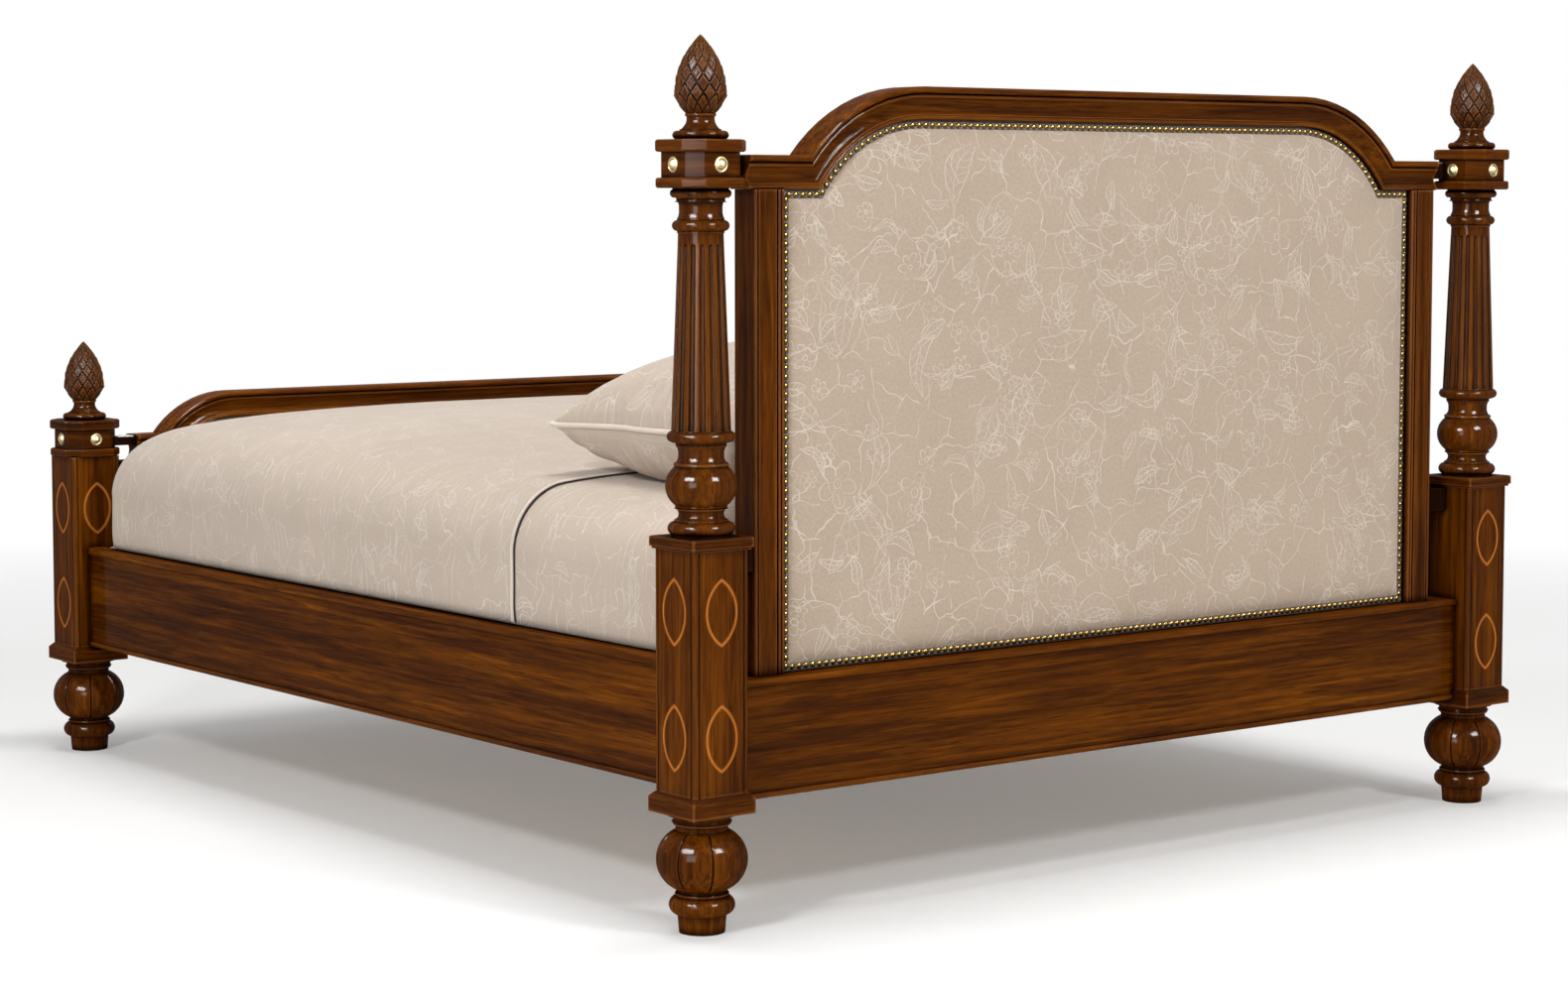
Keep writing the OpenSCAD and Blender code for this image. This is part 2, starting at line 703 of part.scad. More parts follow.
// Domed brass bosses on the flats of every collar
module boss() {
    rotate([90, 0, 0]) rotate_extrude($fn = 48) {
        square([boss_r, 2]);
        translate([0, 2]) intersection() {
            translate([0, -5]) circle(boss_r - 1.5);
            square([boss_r, 8]);
        }
        translate([boss_r - 2, 2]) circle(1.2, $fn = 24);
    }
}
module collar_bosses() {
    color(brass_tone) for (sx = [-1, 1]) for (sy = [-1, 1])
        translate([sx * half_x, sy * half_y,
            (sy > 0 ? head_collar_z : foot_collar_z) + slab_low_h + collar_h / 2])
            for (a = [0:90:270]) rotate([0, 0, a])
                translate([0, -collar_w / 2 + boss_recess, 0]) boss();
}

module inlay_ovals() {
    color(inlay_wood) for (sx = [-1, 1]) for (sy = [-1, 1])
        translate([sx * half_x, sy * half_y, block_z])
            ovals(sx, sy, -0.05, oval_depth - 0.05, 0.35);
}

// Crown moulding: its section is swept along the shoulders, arcs and top, each point
// of the section along its own line, so the mitres at the arcs' feet come out true.
// A point of the section is its distance in from the outer edge and its half thickness.
function arc_points(c, r, a0, a1, n) = [for (i = [0:n]) let (t = a0 + (a1 - a0) * i / n)
    c + r * [cos(t), sin(t)]];
nose_r = 5.5;
reed_r = 3;
quirk = 3;
lip_r = 4;
cove_depth = 6.5;
function crown_half_profile() = let (h = crown_t / 2, reed = 2 * nose_r + 1.5,
    cove = reed + 2 * reed_r + 1.5, half_w = (crown_w - 2 * lip_r - cove) / 2,
    r = (half_w * half_w + cove_depth * cove_depth) / (2 * cove_depth), half_a = asin(half_w / r))
    concat(arc_points([nose_r, h - nose_r], nose_r, 180, 0, 6),
        [[2 * nose_r, h - nose_r - quirk], [reed, h - nose_r - quirk]],
        arc_points([reed + reed_r, h - nose_r - 1.5], reed_r, 180, 0, 4),
        arc_points([cove + half_w, h - 7 + r - cove_depth], r, 270 - half_a, 270 + half_a, 7),
        arc_points([crown_w - lip_r, h - 9], lip_r, 180, 0, 5));
function crown_profile() = let (p = crown_half_profile(), n = len(p))
    concat(p, [for (i = [n - 1:-1:0]) [p[i][0], -p[i][1]]]);
// The line of the crown at a distance d in from its outer edge, right end to left end.
// It runs past the ends by a waste length that is then cut off square.
crown_arc_steps = 10;
end_waste = 4;
function crown_half_line(a, d) = let (cx = arch_cx(a), cz = arch_cz(a), r = a[2] - d,
    a0 = asin((a[0] - d - cz) / r)) concat([[shoulder_end_x + end_waste, a[0] - d]],
        arc_points([cx, cz], r, a0, 90, crown_arc_steps));
function crown_line(a, d) = let (p = crown_half_line(a, d), n = len(p))
    concat(p, [for (i = [n - 1:-1:0]) [-p[i][0], p[i][1]]]);
module crown_body(a) {
    profile = crown_profile();
    lines = [for (p = profile) crown_line(a, p[0])];
    rings = [for (j = [0:len(lines[0]) - 1]) [for (k = [0:len(profile) - 1])
        [lines[k][j][0], profile[k][1], lines[k][j][1]]]];
    ring_loft(rings);
}
module crown(a, sy, tenon_z) {
    color(walnut) difference() {
        translate([0, sy * board_y, 0]) crown_body(a);
        for (sx = [-1, 1])
            translate([sx * (shoulder_end_x + end_waste), sy * board_y, a[0] - crown_w / 2])
                cube([2 * end_waste, crown_t + 2, crown_w + 2], center = true);
        for (sx = [-1, 1]) crown_tenon(sx, sy, tenon_z, fit);
        // mortises for the stiles and a groove for the panel
        for (sx = [-1, 1]) stile_tenon(sx, sy, a[0] - crown_w, fit);
        translate([0, sy * board_y, 0]) core_body(a, fit);
    }
}

// Stiles with stub tenons at both ends
stub_in = 18;
stub_t = 14;
module stile_tenon(sx, sy, z, grow) {
    translate([sx * (stile_out_x + stile_in_x) / 2 + sx * 10, sy * board_y, z])
        cube([stile_w - 30 + 2 * grow, stub_t + 2 * grow, 2 * (stub_in + grow)],
            center = true);
}

// Section of a stile, seen from above: the outer edge at x = 0 has one bead, the
// panel's side at x = stile_w has two
stile_bead_r = 3.5;
reed_pair_r = 3;
stile_band_w = 36;
module stile_bead(x, h, r) {
    translate([x, h - r]) circle(r);
    translate([x - r, 0]) square([2 * r, h - r]);
}
module stile_outline() {
    h = stile_t / 2;
    for (s = [-1, 1]) scale([1, s]) {
        square([stile_w, h - 5]);
        stile_bead(stile_bead_r, h, stile_bead_r);
        translate([2 * stile_bead_r + 1.5, 0]) square([stile_band_w, h - 1]);
        for (k = [1, 3]) stile_bead(stile_w - 1 - k * (reed_pair_r + 0.4), h, reed_pair_r);
    }
}
module stile(sx, sy, a) {
    z0 = end_rail_top;
    z1 = a[0] - crown_w;
    color(walnut) difference() {
        union() {
            translate([sx * stile_out_x, sy * board_y, z0 + fit / 2]) scale([-sx, 1, 1])
                linear_extrude(z1 - z0 - fit) stile_outline();
            stile_tenon(sx, sy, z0, 0);
            stile_tenon(sx, sy, z1, 0);
        }
        translate([0, sy * board_y, 0]) core_body(a, fit);
    }
}

// Bottom rail at the head or foot, moulded on its outer face
module edge_moulding(h, out) {
    r = min(out, h / 2 - 0.5);
    square([out - r + eps, h]);
    translate([out - r, r]) circle(r);
    translate([out - r, h - r]) circle(r);
    translate([out - r, r]) square([r, h - 2 * r]);
}
module bottom_rail(sy, a) {
    inner = end_rail_face_y - end_rail_t;
    color(walnut) difference() {
        union() {
            scale([1, sy, 1]) translate([-post_inner_x + fit, inner, end_rail_z])
                rotate([90, 0, 90]) linear_extrude(2 * (post_inner_x - fit)) {
                    square([end_rail_t, end_rail_h]);
                    translate([end_rail_t, end_rail_h - 12]) edge_moulding(12, edge_out);
                    translate([end_rail_t, 0]) edge_moulding(edge_low_h, edge_out);
                }
            for (sx = [-1, 1]) translate([sx * (post_inner_x + tenon_in / 2 - 2),
                sy * end_rail_mid_y, end_rail_z + end_rail_h / 2 + 8])
                cube([tenon_in, tenon_t, tenon_h], center = true);
        }
        // the ends pass above the plinths
        for (sx = [-1, 1]) translate([sx * half_x, sy * half_y, plinth_z - 50])
            square_slab(plinth_w + 2 * loose, plinth_h + 50 + loose);
        for (sx = [-1, 1]) stile_tenon(sx, sy, end_rail_top, fit);
        translate([0, sy * board_y, 0]) core_body(a, fit);
    }
}

// Dark blocks that hold the stiles off the post blocks
spacer_h = 42;
spacer_t = 38;
spacer_z = 340;
module spacers(sy) {
    color(dark_walnut) for (sx = [-1, 1])
        translate([sx * (stile_out_x + post_inner_x) / 2, sy * (board_y + 4),
            block_z + spacer_z + spacer_h / 2])
            cube([post_inner_x - stile_out_x - 2 * fit, spacer_t, spacer_h], center = true);
}

// Outline of the opening inside the frame, drawn in by d, from its bottom middle
bottom_steps = 4;
side_steps = 6;
arc_steps = 9;
top_steps = 3;
function opening_half(a, d) = let (hw = stile_in_x - d, z0 = end_rail_top + d,
    zs = a[0] - crown_w - d, r = a[2] - crown_w - d, cx = arch_cx(a), cz = arch_cz(a),
    a0 = asin((zs - cz) / r)) concat(
        [for (i = [0:bottom_steps - 1]) [i / bottom_steps * hw, z0]],
        [for (i = [0:side_steps]) [hw, z0 + i / side_steps * (zs - z0)]],
        [for (i = [0:arc_steps]) let (t = a0 + (90 - a0) * i / arc_steps)
            [cx + r * cos(t), cz + r * sin(t)]],
        [for (i = [1:top_steps]) [cx * (1 - i / top_steps), cz + r]]);
function opening(a, d) = let (h = opening_half(a, d), n = len(h))
    concat(h, [for (i = [n - 2:-1:1]) [-h[i][0], h[i][1]]]);

// Plywood core in the frame's grooves
module core_body(a, grow) {
    rotate([90, 0, 0]) translate([0, 0, -core_t / 2 - grow]) linear_extrude(core_t + 2 * grow)
        polygon(opening(a, -core_in - grow));
}
module core(sy, a) color(pine) translate([0, sy * board_y, 0]) core_body(a, 0);

// Crowned pad on one face of the core, with a flat nailed edge
module pad(sy, face, a, shade) {
    y0 = core_t / 2 + soft_gap;
    mid = [0, (end_rail_top + arch_top(a) - crown_w) / 2];
    lifts = [[0, 0], [0, pad_edge_t], [pad_edge_w, pad_edge_t],
        [pad_edge_w + 2.5, pad_edge_t + pad_crown * 0.3],
        [pad_edge_w + 9, pad_edge_t + pad_crown * 0.58],
        [pad_edge_w + 28, pad_edge_t + pad_crown * 0.82],
        [pad_edge_w + 60, pad_edge_t + pad_crown * 0.94]];
    rings = concat([for (l = lifts) [for (p = opening(a, 1.5 + l[0])) [p[0], y0 + l[1], p[1]]]],
        [[for (p = opening(a, 1.5 + pad_edge_w + 60)) let (q = mid + (p - mid) * 0.5)
            [q[0], y0 + pad_edge_t + pad_crown, q[1]]]]);
    color(shade) translate([0, sy * board_y, 0]) scale([1, face, 1])
        ring_loft([for (i = [len(rings) - 1:-1:0]) rings[i]]);
}

// Side rails with moulded edges, and the steel hooks that hang them
module side_rail(sx) {
    color(walnut) difference() {
        scale([sx, 1, 1]) translate([side_inner_x, rail_end_y, side_rail_z])
            rotate([90, 0, 0]) linear_extrude(2 * rail_end_y) {
                square([side_rail_t, side_rail_h]);
                translate([side_rail_t, side_rail_h - edge_top_h])
                    edge_moulding(edge_top_h, edge_out);
                translate([side_rail_t, 0]) edge_moulding(edge_low_h, edge_out);
            }
        for (sy = [-1, 1]) translate([sx * hook_x, sy * rail_end_y, hook_z])
            cube([hook_plate_w + 2 * fit, 2 * hook_plate_t, hook_plate_h + 2 * fit],
                center = true);
    }
}
module rail_hooks() {
    color(steel_tone) for (sx = [-1, 1]) for (sy = [-1, 1])
        translate([sx * hook_x, sy * rail_end_y, hook_z]) scale([1, sy, 1]) {
            translate([0, -hook_plate_t / 2, 0])
                cube([hook_plate_w, hook_plate_t, hook_plate_h], center = true);
            for (k = [-1, 1]) translate([0, 0, k * hook_spacing / 2]) {
                translate([0, hook_in / 2 - 1, 0])
                    cube([hook_t, hook_in + 2, hook_h * 0.7], center = true);
                translate([0, hook_in - 2, -hook_h * 0.15])
                    cube([hook_t, 6, hook_h * 0.8], center = true);
            }
        }
}
module post_keepers() {
    color(steel_tone) for (sx = [-1, 1]) for (sy = [-1, 1])
        translate([sx * hook_x, sy * (half_y - block_w / 2), hook_z]) scale([1, sy, 1])
            difference() {
                translate([0, hook_plate_t / 2, 0])
                    cube([hook_plate_w, hook_plate_t, hook_plate_h], center = true);
                for (k = [-1, 1]) translate([0, 0, k * hook_spacing / 2])
                    cube([hook_t + 2, 4 * hook_plate_t, hook_h + 6], center = true);
            }
}

module side_cleat(sx) {
    color(pine) translate([sx * (side_inner_x - cleat_w / 2 - fit), 0, cleat_top - cleat_h / 2])
        cube([cleat_w, 2 * (rail_end_y - 20), cleat_h], center = true);
}
module slats_across() {
    reach = side_inner_x - 2;
    first = rail_end_y - 60;
    color(pine) for (i = [0:slats - 1])
        translate([0, -first + 2 * first * i / (slats - 1), cleat_top + slat_t / 2])
            cube([2 * reach, slat_w, slat_t], center = true);
}
module centre_beam() {
    color(pine) translate([0, 0, cleat_top - beam_h / 2])
        cube([beam_w, 2 * beam_end_y, beam_h], center = true);
}
glide_h = 12;
glide_r = 17;
module centre_leg() {
    color(pine) translate([0, 0, glide_h]) square_slab(leg_w, cleat_top - beam_h - glide_h);
    color(dark_walnut) cylinder(r1 = glide_r - 2, r2 = glide_r, h = glide_h + 1);
}
module foundation() {
    hx = side_inner_x - 3;
    hy = rail_end_y - 8;
    color(linen) translate([0, 0, slat_top]) linear_extrude(foundation_top - slat_top)
        cut_square_rect(hx, hy, 14);
}
module cut_square_rect(hx, hy, cut) polygon([[hx, -hy + cut], [hx, hy - cut],
    [hx - cut, hy], [-hx + cut, hy], [-hx, hy - cut], [-hx, -hy + cut],
    [-hx + cut, -hy], [hx - cut, -hy]]);

// Mattress form: how far the top drops at a distance d in from the edge
crown_reach = 750;
function crown_drop(d) = mattress_crown * pow(max(1 - d / crown_reach, 0), 1.7);
function roll_drop(d, roll) = d >= roll ? 0 : roll - sqrt(roll * roll - pow(roll - d, 2));
function mattress_top_at(x, y) = let (d = max(min(mattress_half_x - abs(x),
    mattress_half_y - abs(y)), 0)) mattress_top - crown_drop(d) - roll_drop(d, mattress_roll);
corner_steps = 8;
function plan_ring(hx, hy, r, z) = [for (c = [[1, -1, -90], [1, 1, 0], [-1, 1, 90],
    [-1, -1, 180]]) for (i = [0:corner_steps]) let (t = c[2] + 90 * i / corner_steps)
        [c[0] * (hx - r) + r * cos(t), c[1] * (hy - r) + r * sin(t), z]];
insets = [0, 5, 14, 30, 55, 90, 150, 250, 400, 600, 800];
module mattress_form(grow) {
    hx = mattress_half_x + grow;
    hy = mattress_half_y + grow;
    rc = mattress_corner + grow;
    rings = concat([plan_ring(hx - 10, hy - 10, rc - 10, mattress_z),
        plan_ring(hx, hy, rc, mattress_z + 14)],
        [for (d = insets) plan_ring(hx - d, hy - d, max(rc - d * 0.4, 40),
            mattress_top + grow - crown_drop(d) - roll_drop(d, mattress_roll + grow))]);
    ring_loft(rings);
}
module mattress() color(sheet_linen) mattress_form(0);
module coverlet() {
    color(linen) intersection() {
        difference() {
            mattress_form(coverlet_t);
            mattress_form(soft_gap);
        }
        translate([-post_span_x, -post_span_y, side_rail_top + 6])
            cube([2 * post_span_x, post_span_y + coverlet_hem, mattress_h + 100]);
    }
}

// Pillow: a plump knife edged form that flattens where it lies on the mattress
pillow_steps = 8;
pillow_pull = 0.055;
pillow_fullness = 0.36;
seam_half = 1.5;
function square_loop(s) = [for (q = [0:3]) for (i = [0:pillow_steps - 1])
    let (t = -1 + 2 * i / pillow_steps)
        s * (q == 0 ? [1, t] : q == 1 ? [-t, 1] : q == 2 ? [-1, -t] : [t, -1])];
function pillow_point(u, v, cx, side) = let (
    x = cx + pillow_w / 2 * u * (1 - pillow_pull * (1 - v * v)),
    y = pillow_mid_y + pillow_d / 2 * v * (1 - pillow_pull * (1 - u * u)),
    h = (side > 0 ? pillow_t : pillow_under) * pow((1 - u * u) * (1 - v * v), pillow_fullness),
    z = pillow_edge_z + side * (h + seam_half))
        [x, y, max(z, mattress_top_at(x, y) + coverlet_t + soft_gap)];
module pillow(sx) {
    cx = sx * pillow_mid_x;
    rows = [1, 0.96, 0.88, 0.75, 0.58, 0.38, 0.18];
    rings = concat(
        [for (i = [len(rows) - 1:-1:0]) [for (p = square_loop(rows[i]))
            pillow_point(p[0], p[1], cx, -1)]],
        [for (s = rows) [for (p = square_loop(s)) pillow_point(p[0], p[1], cx, 1)]]);
    color(linen) ring_loft(rings);
}

module at_post(sx, sy, z) translate([sx * half_x, sy * half_y, z]) children();

at_post(1, 1, 0) bun_foot();  // bun_foot_hl
at_post(-1, 1, 0) bun_foot();  // bun_foot_hr
at_post(1, -1, 0) bun_foot();  // bun_foot_fl
at_post(-1, -1, 0) bun_foot();  // bun_foot_fr
at_post(1, 1, plinth_z) plinth();  // plinth_hl
at_post(-1, 1, plinth_z) plinth();  // plinth_hr
at_post(1, -1, plinth_z) plinth();  // plinth_fl
at_post(-1, -1, plinth_z) plinth();  // plinth_fr
at_post(1, 1, block_z) post_block(1, 1, head_block_h, true);  // post_block_hl
at_post(-1, 1, block_z) post_block(-1, 1, head_block_h, true);  // post_block_hr
at_post(1, -1, block_z) post_block(1, -1, foot_block_h, false);  // post_block_fl
at_post(-1, -1, block_z) post_block(-1, -1, foot_block_h, false);  // post_block_fr
at_post(1, 1, head_cap_z) block_cap();  // block_cap_hl
at_post(-1, 1, head_cap_z) block_cap();  // block_cap_hr
at_post(1, 1, column_z) column();  // column_hl
at_post(-1, 1, column_z) column();  // column_hr
at_post(1, 1, head_collar_z) collar(1, 1, true);  // collar_hl
at_post(-1, 1, head_collar_z) collar(-1, 1, true);  // collar_hr
at_post(1, -1, foot_collar_z) collar(1, -1, false);  // collar_fl
at_post(-1, -1, foot_collar_z) collar(-1, -1, false);  // collar_fr
at_post(1, 1, head_collar_z + collar_stack_h) finial();  // finial_hl
at_post(-1, 1, head_collar_z + collar_stack_h) finial();  // finial_hr
at_post(1, -1, foot_collar_z + collar_stack_h) finial();  // finial_fl
at_post(-1, -1, foot_collar_z + collar_stack_h) finial();  // finial_fr
collar_bosses();
inlay_ovals();
crown(head_arch, 1, tenon_head_z);  // head_crown
stile(1, 1, head_arch);  // head_stile_l
stile(-1, 1, head_arch);  // head_stile_r
bottom_rail(1, head_arch);  // head_bottom_rail
core(1, head_arch);  // head_core
pad(1, -1, head_arch, linen);  // head_pad_front
pad(1, 1, head_arch, linen);  // head_pad_back
crown_tenons(1, tenon_head_z);  // head_tenons
spacers(1);  // head_spacers
crown(foot_arch, -1, tenon_foot_z);  // foot_crown
stile(1, -1, foot_arch);  // foot_stile_l
stile(-1, -1, foot_arch);  // foot_stile_r
bottom_rail(-1, foot_arch);  // foot_bottom_rail
core(-1, foot_arch);  // foot_core
pad(-1, 1, foot_arch, linen);  // foot_pad_inner
pad(-1, -1, foot_arch, linen);  // foot_pad_outer
crown_tenons(-1, tenon_foot_z);  // foot_tenons
spacers(-1);  // foot_spacers
crown_brackets();
side_rail(1);  // side_rail_l
side_rail(-1);  // side_rail_r
side_cleat(1);  // side_cleat_l
side_cleat(-1);  // side_cleat_r
rail_hooks();
post_keepers();
slats_across();
centre_beam();
centre_leg();
foundation();
mattress();
coverlet();
pillow(1);  // pillow_l
pillow(-1);  // pillow_r
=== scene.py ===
import math

import bmesh
import bpy
import numpy as np
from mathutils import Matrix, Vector, noise


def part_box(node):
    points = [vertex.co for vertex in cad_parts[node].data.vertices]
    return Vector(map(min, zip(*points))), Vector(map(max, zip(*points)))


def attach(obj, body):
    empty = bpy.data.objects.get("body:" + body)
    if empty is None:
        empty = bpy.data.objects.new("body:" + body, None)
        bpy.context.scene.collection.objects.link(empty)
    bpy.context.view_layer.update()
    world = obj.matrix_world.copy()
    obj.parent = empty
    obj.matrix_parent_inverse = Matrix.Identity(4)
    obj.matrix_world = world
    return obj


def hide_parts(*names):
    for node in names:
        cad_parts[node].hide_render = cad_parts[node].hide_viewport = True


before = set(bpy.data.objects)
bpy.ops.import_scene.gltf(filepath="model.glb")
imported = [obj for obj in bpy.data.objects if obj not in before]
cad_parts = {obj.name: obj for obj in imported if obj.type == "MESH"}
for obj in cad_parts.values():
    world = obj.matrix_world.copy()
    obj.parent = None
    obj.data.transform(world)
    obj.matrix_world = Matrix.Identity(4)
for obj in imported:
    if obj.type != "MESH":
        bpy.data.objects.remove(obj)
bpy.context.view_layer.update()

# Looks of an upholstered bed with turned posts, carved pine cone finials, nailed
# panels, a mattress, a coverlet and two pillows. Metres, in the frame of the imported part.
MM = 0.001
SCENE = bpy.context.scene
SCENE.view_settings.view_transform = "Standard"


def linear(hex_colour):
    """An sRGB hex colour as linear red, green, blue and alpha."""
    parts = [int(hex_colour[i:i + 2], 16) / 255 for i in (1, 3, 5)]
    return (*[c / 12.92 if c <= 0.04045 else ((c + 0.055) / 1.055) ** 2.4 for c in parts], 1.0)


MATHS = "ShaderNodeMath"
VECTOR_MATHS = "ShaderNodeVectorMath"
RANGE = "ShaderNodeMapRange"
NOISE = "ShaderNodeTexNoise"
MIX = "ShaderNodeMix"
# numbers of the Mix node's colour sockets, which share their names with others
MIX_A, MIX_B, MIX_RESULT = 6, 7, 2


def wire(tree, node, inputs):
    """Sets a node's inputs by name or number: to numbers, colours or other nodes' outputs."""
    for key, value in inputs.items():
        if isinstance(value, bpy.types.NodeSocket):
            tree.links.new(value, node.inputs[key])
        else:
            node.inputs[key].default_value = value


def add(tree, kind, *inputs, out=0, **settings):
    """Adds a node with its settings and links, and gives its output called out. The inputs
    come in order, or in one dict by name or number."""
    made = tree.nodes.new(kind)
    for name, value in settings.items():
        setattr(made, name, value)
    named = inputs and isinstance(inputs[0], dict)
    wire(tree, made, inputs[0] if named else dict(enumerate(inputs)))
    return made.outputs[out] if made.outputs else made


# Camera, at the place that the post centres and rails of the photograph give.
CAMERA_AT = Vector((3.9089, 5.1352, 1.1560))
CAMERA_YAW = math.radians(37.975)
CAMERA_PITCH = math.radians(-4.193)
CAMERA_LENS = 74.52
CAMERA_SHIFT_Y = -0.03797


def make_camera():
    """A level framed camera without depth of field."""
    data = bpy.data.cameras.new("camera")
    data.sensor_fit = "HORIZONTAL"
    data.sensor_width = 36
    data.lens = CAMERA_LENS
    data.shift_y = CAMERA_SHIFT_Y
    data.clip_end = 100
    camera = bpy.data.objects.new("camera", data)
    look = Vector((-math.sin(CAMERA_YAW) * math.cos(CAMERA_PITCH),
                   -math.cos(CAMERA_YAW) * math.cos(CAMERA_PITCH), math.sin(CAMERA_PITCH)))
    camera.location = CAMERA_AT
    camera.rotation_mode = "QUATERNION"
    camera.rotation_quaternion = look.to_track_quat("-Z", "Y")
    SCENE.collection.objects.link(camera)
    SCENE.camera = camera


make_camera()


# Materials
# Grain runs along one axis of the bed, so each board's finish names its axis.
# The mouldings round a post run level on all four sides, which "level" gives.
ALONG = {"x": (0.04, 1, 1), "y": (1, 0.04, 1), "z": (1, 1, 0.04), "level": (0.05, 0.05, 1)}


def new_material(name):
    """A material, its tree and its shader node."""
    material = bpy.data.materials.new(name)
    material.use_nodes = True
    tree = material.node_tree
    return material, tree, tree.nodes["Principled BSDF"]


def with_steps(ramp, steps):
    """Gives a colour ramp its steps, pairs of place and hex colour."""
    points = ramp.node.color_ramp.elements
    while len(points) < len(steps):
        points.new(0.5)
    for point, (place, colour) in zip(points, steps):
        point.position = place
        point.color = linear(colour)
    return ramp


# Real sizes in walnut: fibres, pores, streaks and figure of the grain; then the width of painted
# shade in a quirk, of an edge's part worn paler and painted as a highlight, and of its rounded part
FIBRE = 1.4 * MM
PORE = 2.6 * MM
STREAK = 10 * MM
FIGURE = 95 * MM
CREVICE = 15 * MM
ARRIS = 6.5 * MM
EDGE = 2.0 * MM
# near black, painted into the quirks as their shade
PAINTED_CREVICE_SHADE = "#090301"
LACQUER_IOR = 1.5


def lacquered(name, axis, steps, lacquer=0.08, worn_and_highlit_colour="#96592a", wear_and_highlight=0.8, gloss=0.11):
    """Hardwood, stained and lacquered by hand: the eye sees streaky grain with dark pores
    along the board, painted shade in the quirks, arrises worn paler and painted as highlights,
    and a clear gloss coat."""
    material, tree, shader = new_material(name)
    place = add(tree, "ShaderNodeTexCoord", out="Object")
    along = add(tree, VECTOR_MATHS, place, ALONG[axis], operation="MULTIPLY")
    streaks = add(tree, NOISE, {"Vector": along, "Scale": 1 / STREAK, "Detail": 5,
                                "Roughness": 0.62, "Distortion": 0.7})
    fibres = add(tree, NOISE, {"Vector": along, "Scale": 1 / FIBRE, "Detail": 2,
                               "Roughness": 0.5})
    pores = add(tree, NOISE, {"Vector": along, "Scale": 1 / PORE, "Detail": 2,
                              "Roughness": 0.5, "Distortion": 0.2})
    figure = add(tree, NOISE, {"Vector": along, "Scale": 1 / FIGURE, "Detail": 3,
                               "Roughness": 0.5, "Distortion": 1.2})
    tone = add(tree, MATHS, fibres, 0.14, operation="MULTIPLY")
    tone = add(tree, MATHS, figure, 0.45, tone, operation="MULTIPLY_ADD")
    tone = add(tree, MATHS, streaks, 0.55, tone, operation="MULTIPLY_ADD")
    tone = add(tree, RANGE, tone, 0.38, 0.76)
    colour = with_steps(add(tree, "ShaderNodeValToRGB", tone), steps)
    pored = add(tree, RANGE, pores, 0.56, 0.72, 0.0, 0.62)
    colour = add(tree, MIX, {0: pored, MIX_A: colour, MIX_B: linear(steps[0][1])},
                 out=MIX_RESULT, data_type="RGBA")
    hollow = add(tree, "ShaderNodeAmbientOcclusion", {"Distance": CREVICE}, out="AO", samples=6)
    thin = add(tree, "ShaderNodeAmbientOcclusion", {"Distance": ARRIS}, out="AO", samples=5,
               inside=True)
    # Arrises go paler: partly worn, partly a painted highlight where light would catch them
    on_edges = add(tree, RANGE, thin, 0.80, 0.45)
    out_of_quirks = add(tree, RANGE, hollow, 0.5, 0.85)
    rubbed_and_highlit = add(tree, MATHS, on_edges, out_of_quirks, operation="MULTIPLY")
    rubbed_and_highlit = add(tree, MATHS, rubbed_and_highlit, wear_and_highlight, operation="MULTIPLY")
    colour = add(tree, MIX, {0: rubbed_and_highlit, MIX_A: colour, MIX_B: linear(worn_and_highlit_colour)},
                 out=MIX_RESULT, data_type="RGBA")
    # Painted shade: where occlusion finds a quirk the colour goes near black, and the coat there is
    # duller
    crevice_shade_and_dull_coat = add(tree, RANGE, hollow, 0.48, 0.99, 0.95, 0.0)
    colour = add(tree, MIX, {0: crevice_shade_and_dull_coat, MIX_A: colour, MIX_B: linear(PAINTED_CREVICE_SHADE)},
                 out=MIX_RESULT, data_type="RGBA")
    rough = add(tree, RANGE, streaks, 0.3, 0.7, 0.34, 0.46)
    coat = add(tree, MATHS, crevice_shade_and_dull_coat, -0.55 * lacquer, lacquer, operation="MULTIPLY_ADD")
    rounded = add(tree, "ShaderNodeBevel", {"Radius": EDGE}, samples=4)
    bump = add(tree, "ShaderNodeBump", {"Height": fibres, "Strength": 0.12,
                                        "Distance": 0.2 * MM, "Normal": rounded})
    wire(tree, shader, {"Base Color": colour, "Roughness": rough, "Specular IOR Level": 0.0,
                        "Coat Weight": coat, "Coat Roughness": gloss, "Coat IOR": LACQUER_IOR,
                        "Normal": bump, "Coat Normal": rounded})
    return material


RAIL_TONES = ((0.0, "#281202"), (0.35, "#472102"), (0.65, "#653403"), (1.0, "#8e500a"))
POST_TONES = ((0.0, "#231001"), (0.35, "#421e02"), (0.65, "#5e2f04"), (1.0, "#7e4609"))
CARVED_TONES = ((0.0, "#1e0c03"), (0.35, "#42210c"), (0.65, "#603616"), (1.0, "#7c4c22"))
# near black tones for the tenons and spacers, painted as the shade in the joints' gaps
JOINT_SHADE_TONES = ((0.0, "#0c0503"), (0.5, "#200f06"), (1.0, "#35190a"))
INLAY_TONES = ((0.0, "#8a4710"), (0.5, "#b0611b"), (1.0, "#c97c2e"))
PINE_TONES = ((0.0, "#a97f4c"), (0.5, "#c9a26b"), (1.0, "#dfc18e"))
PINE_RING = 22 * MM


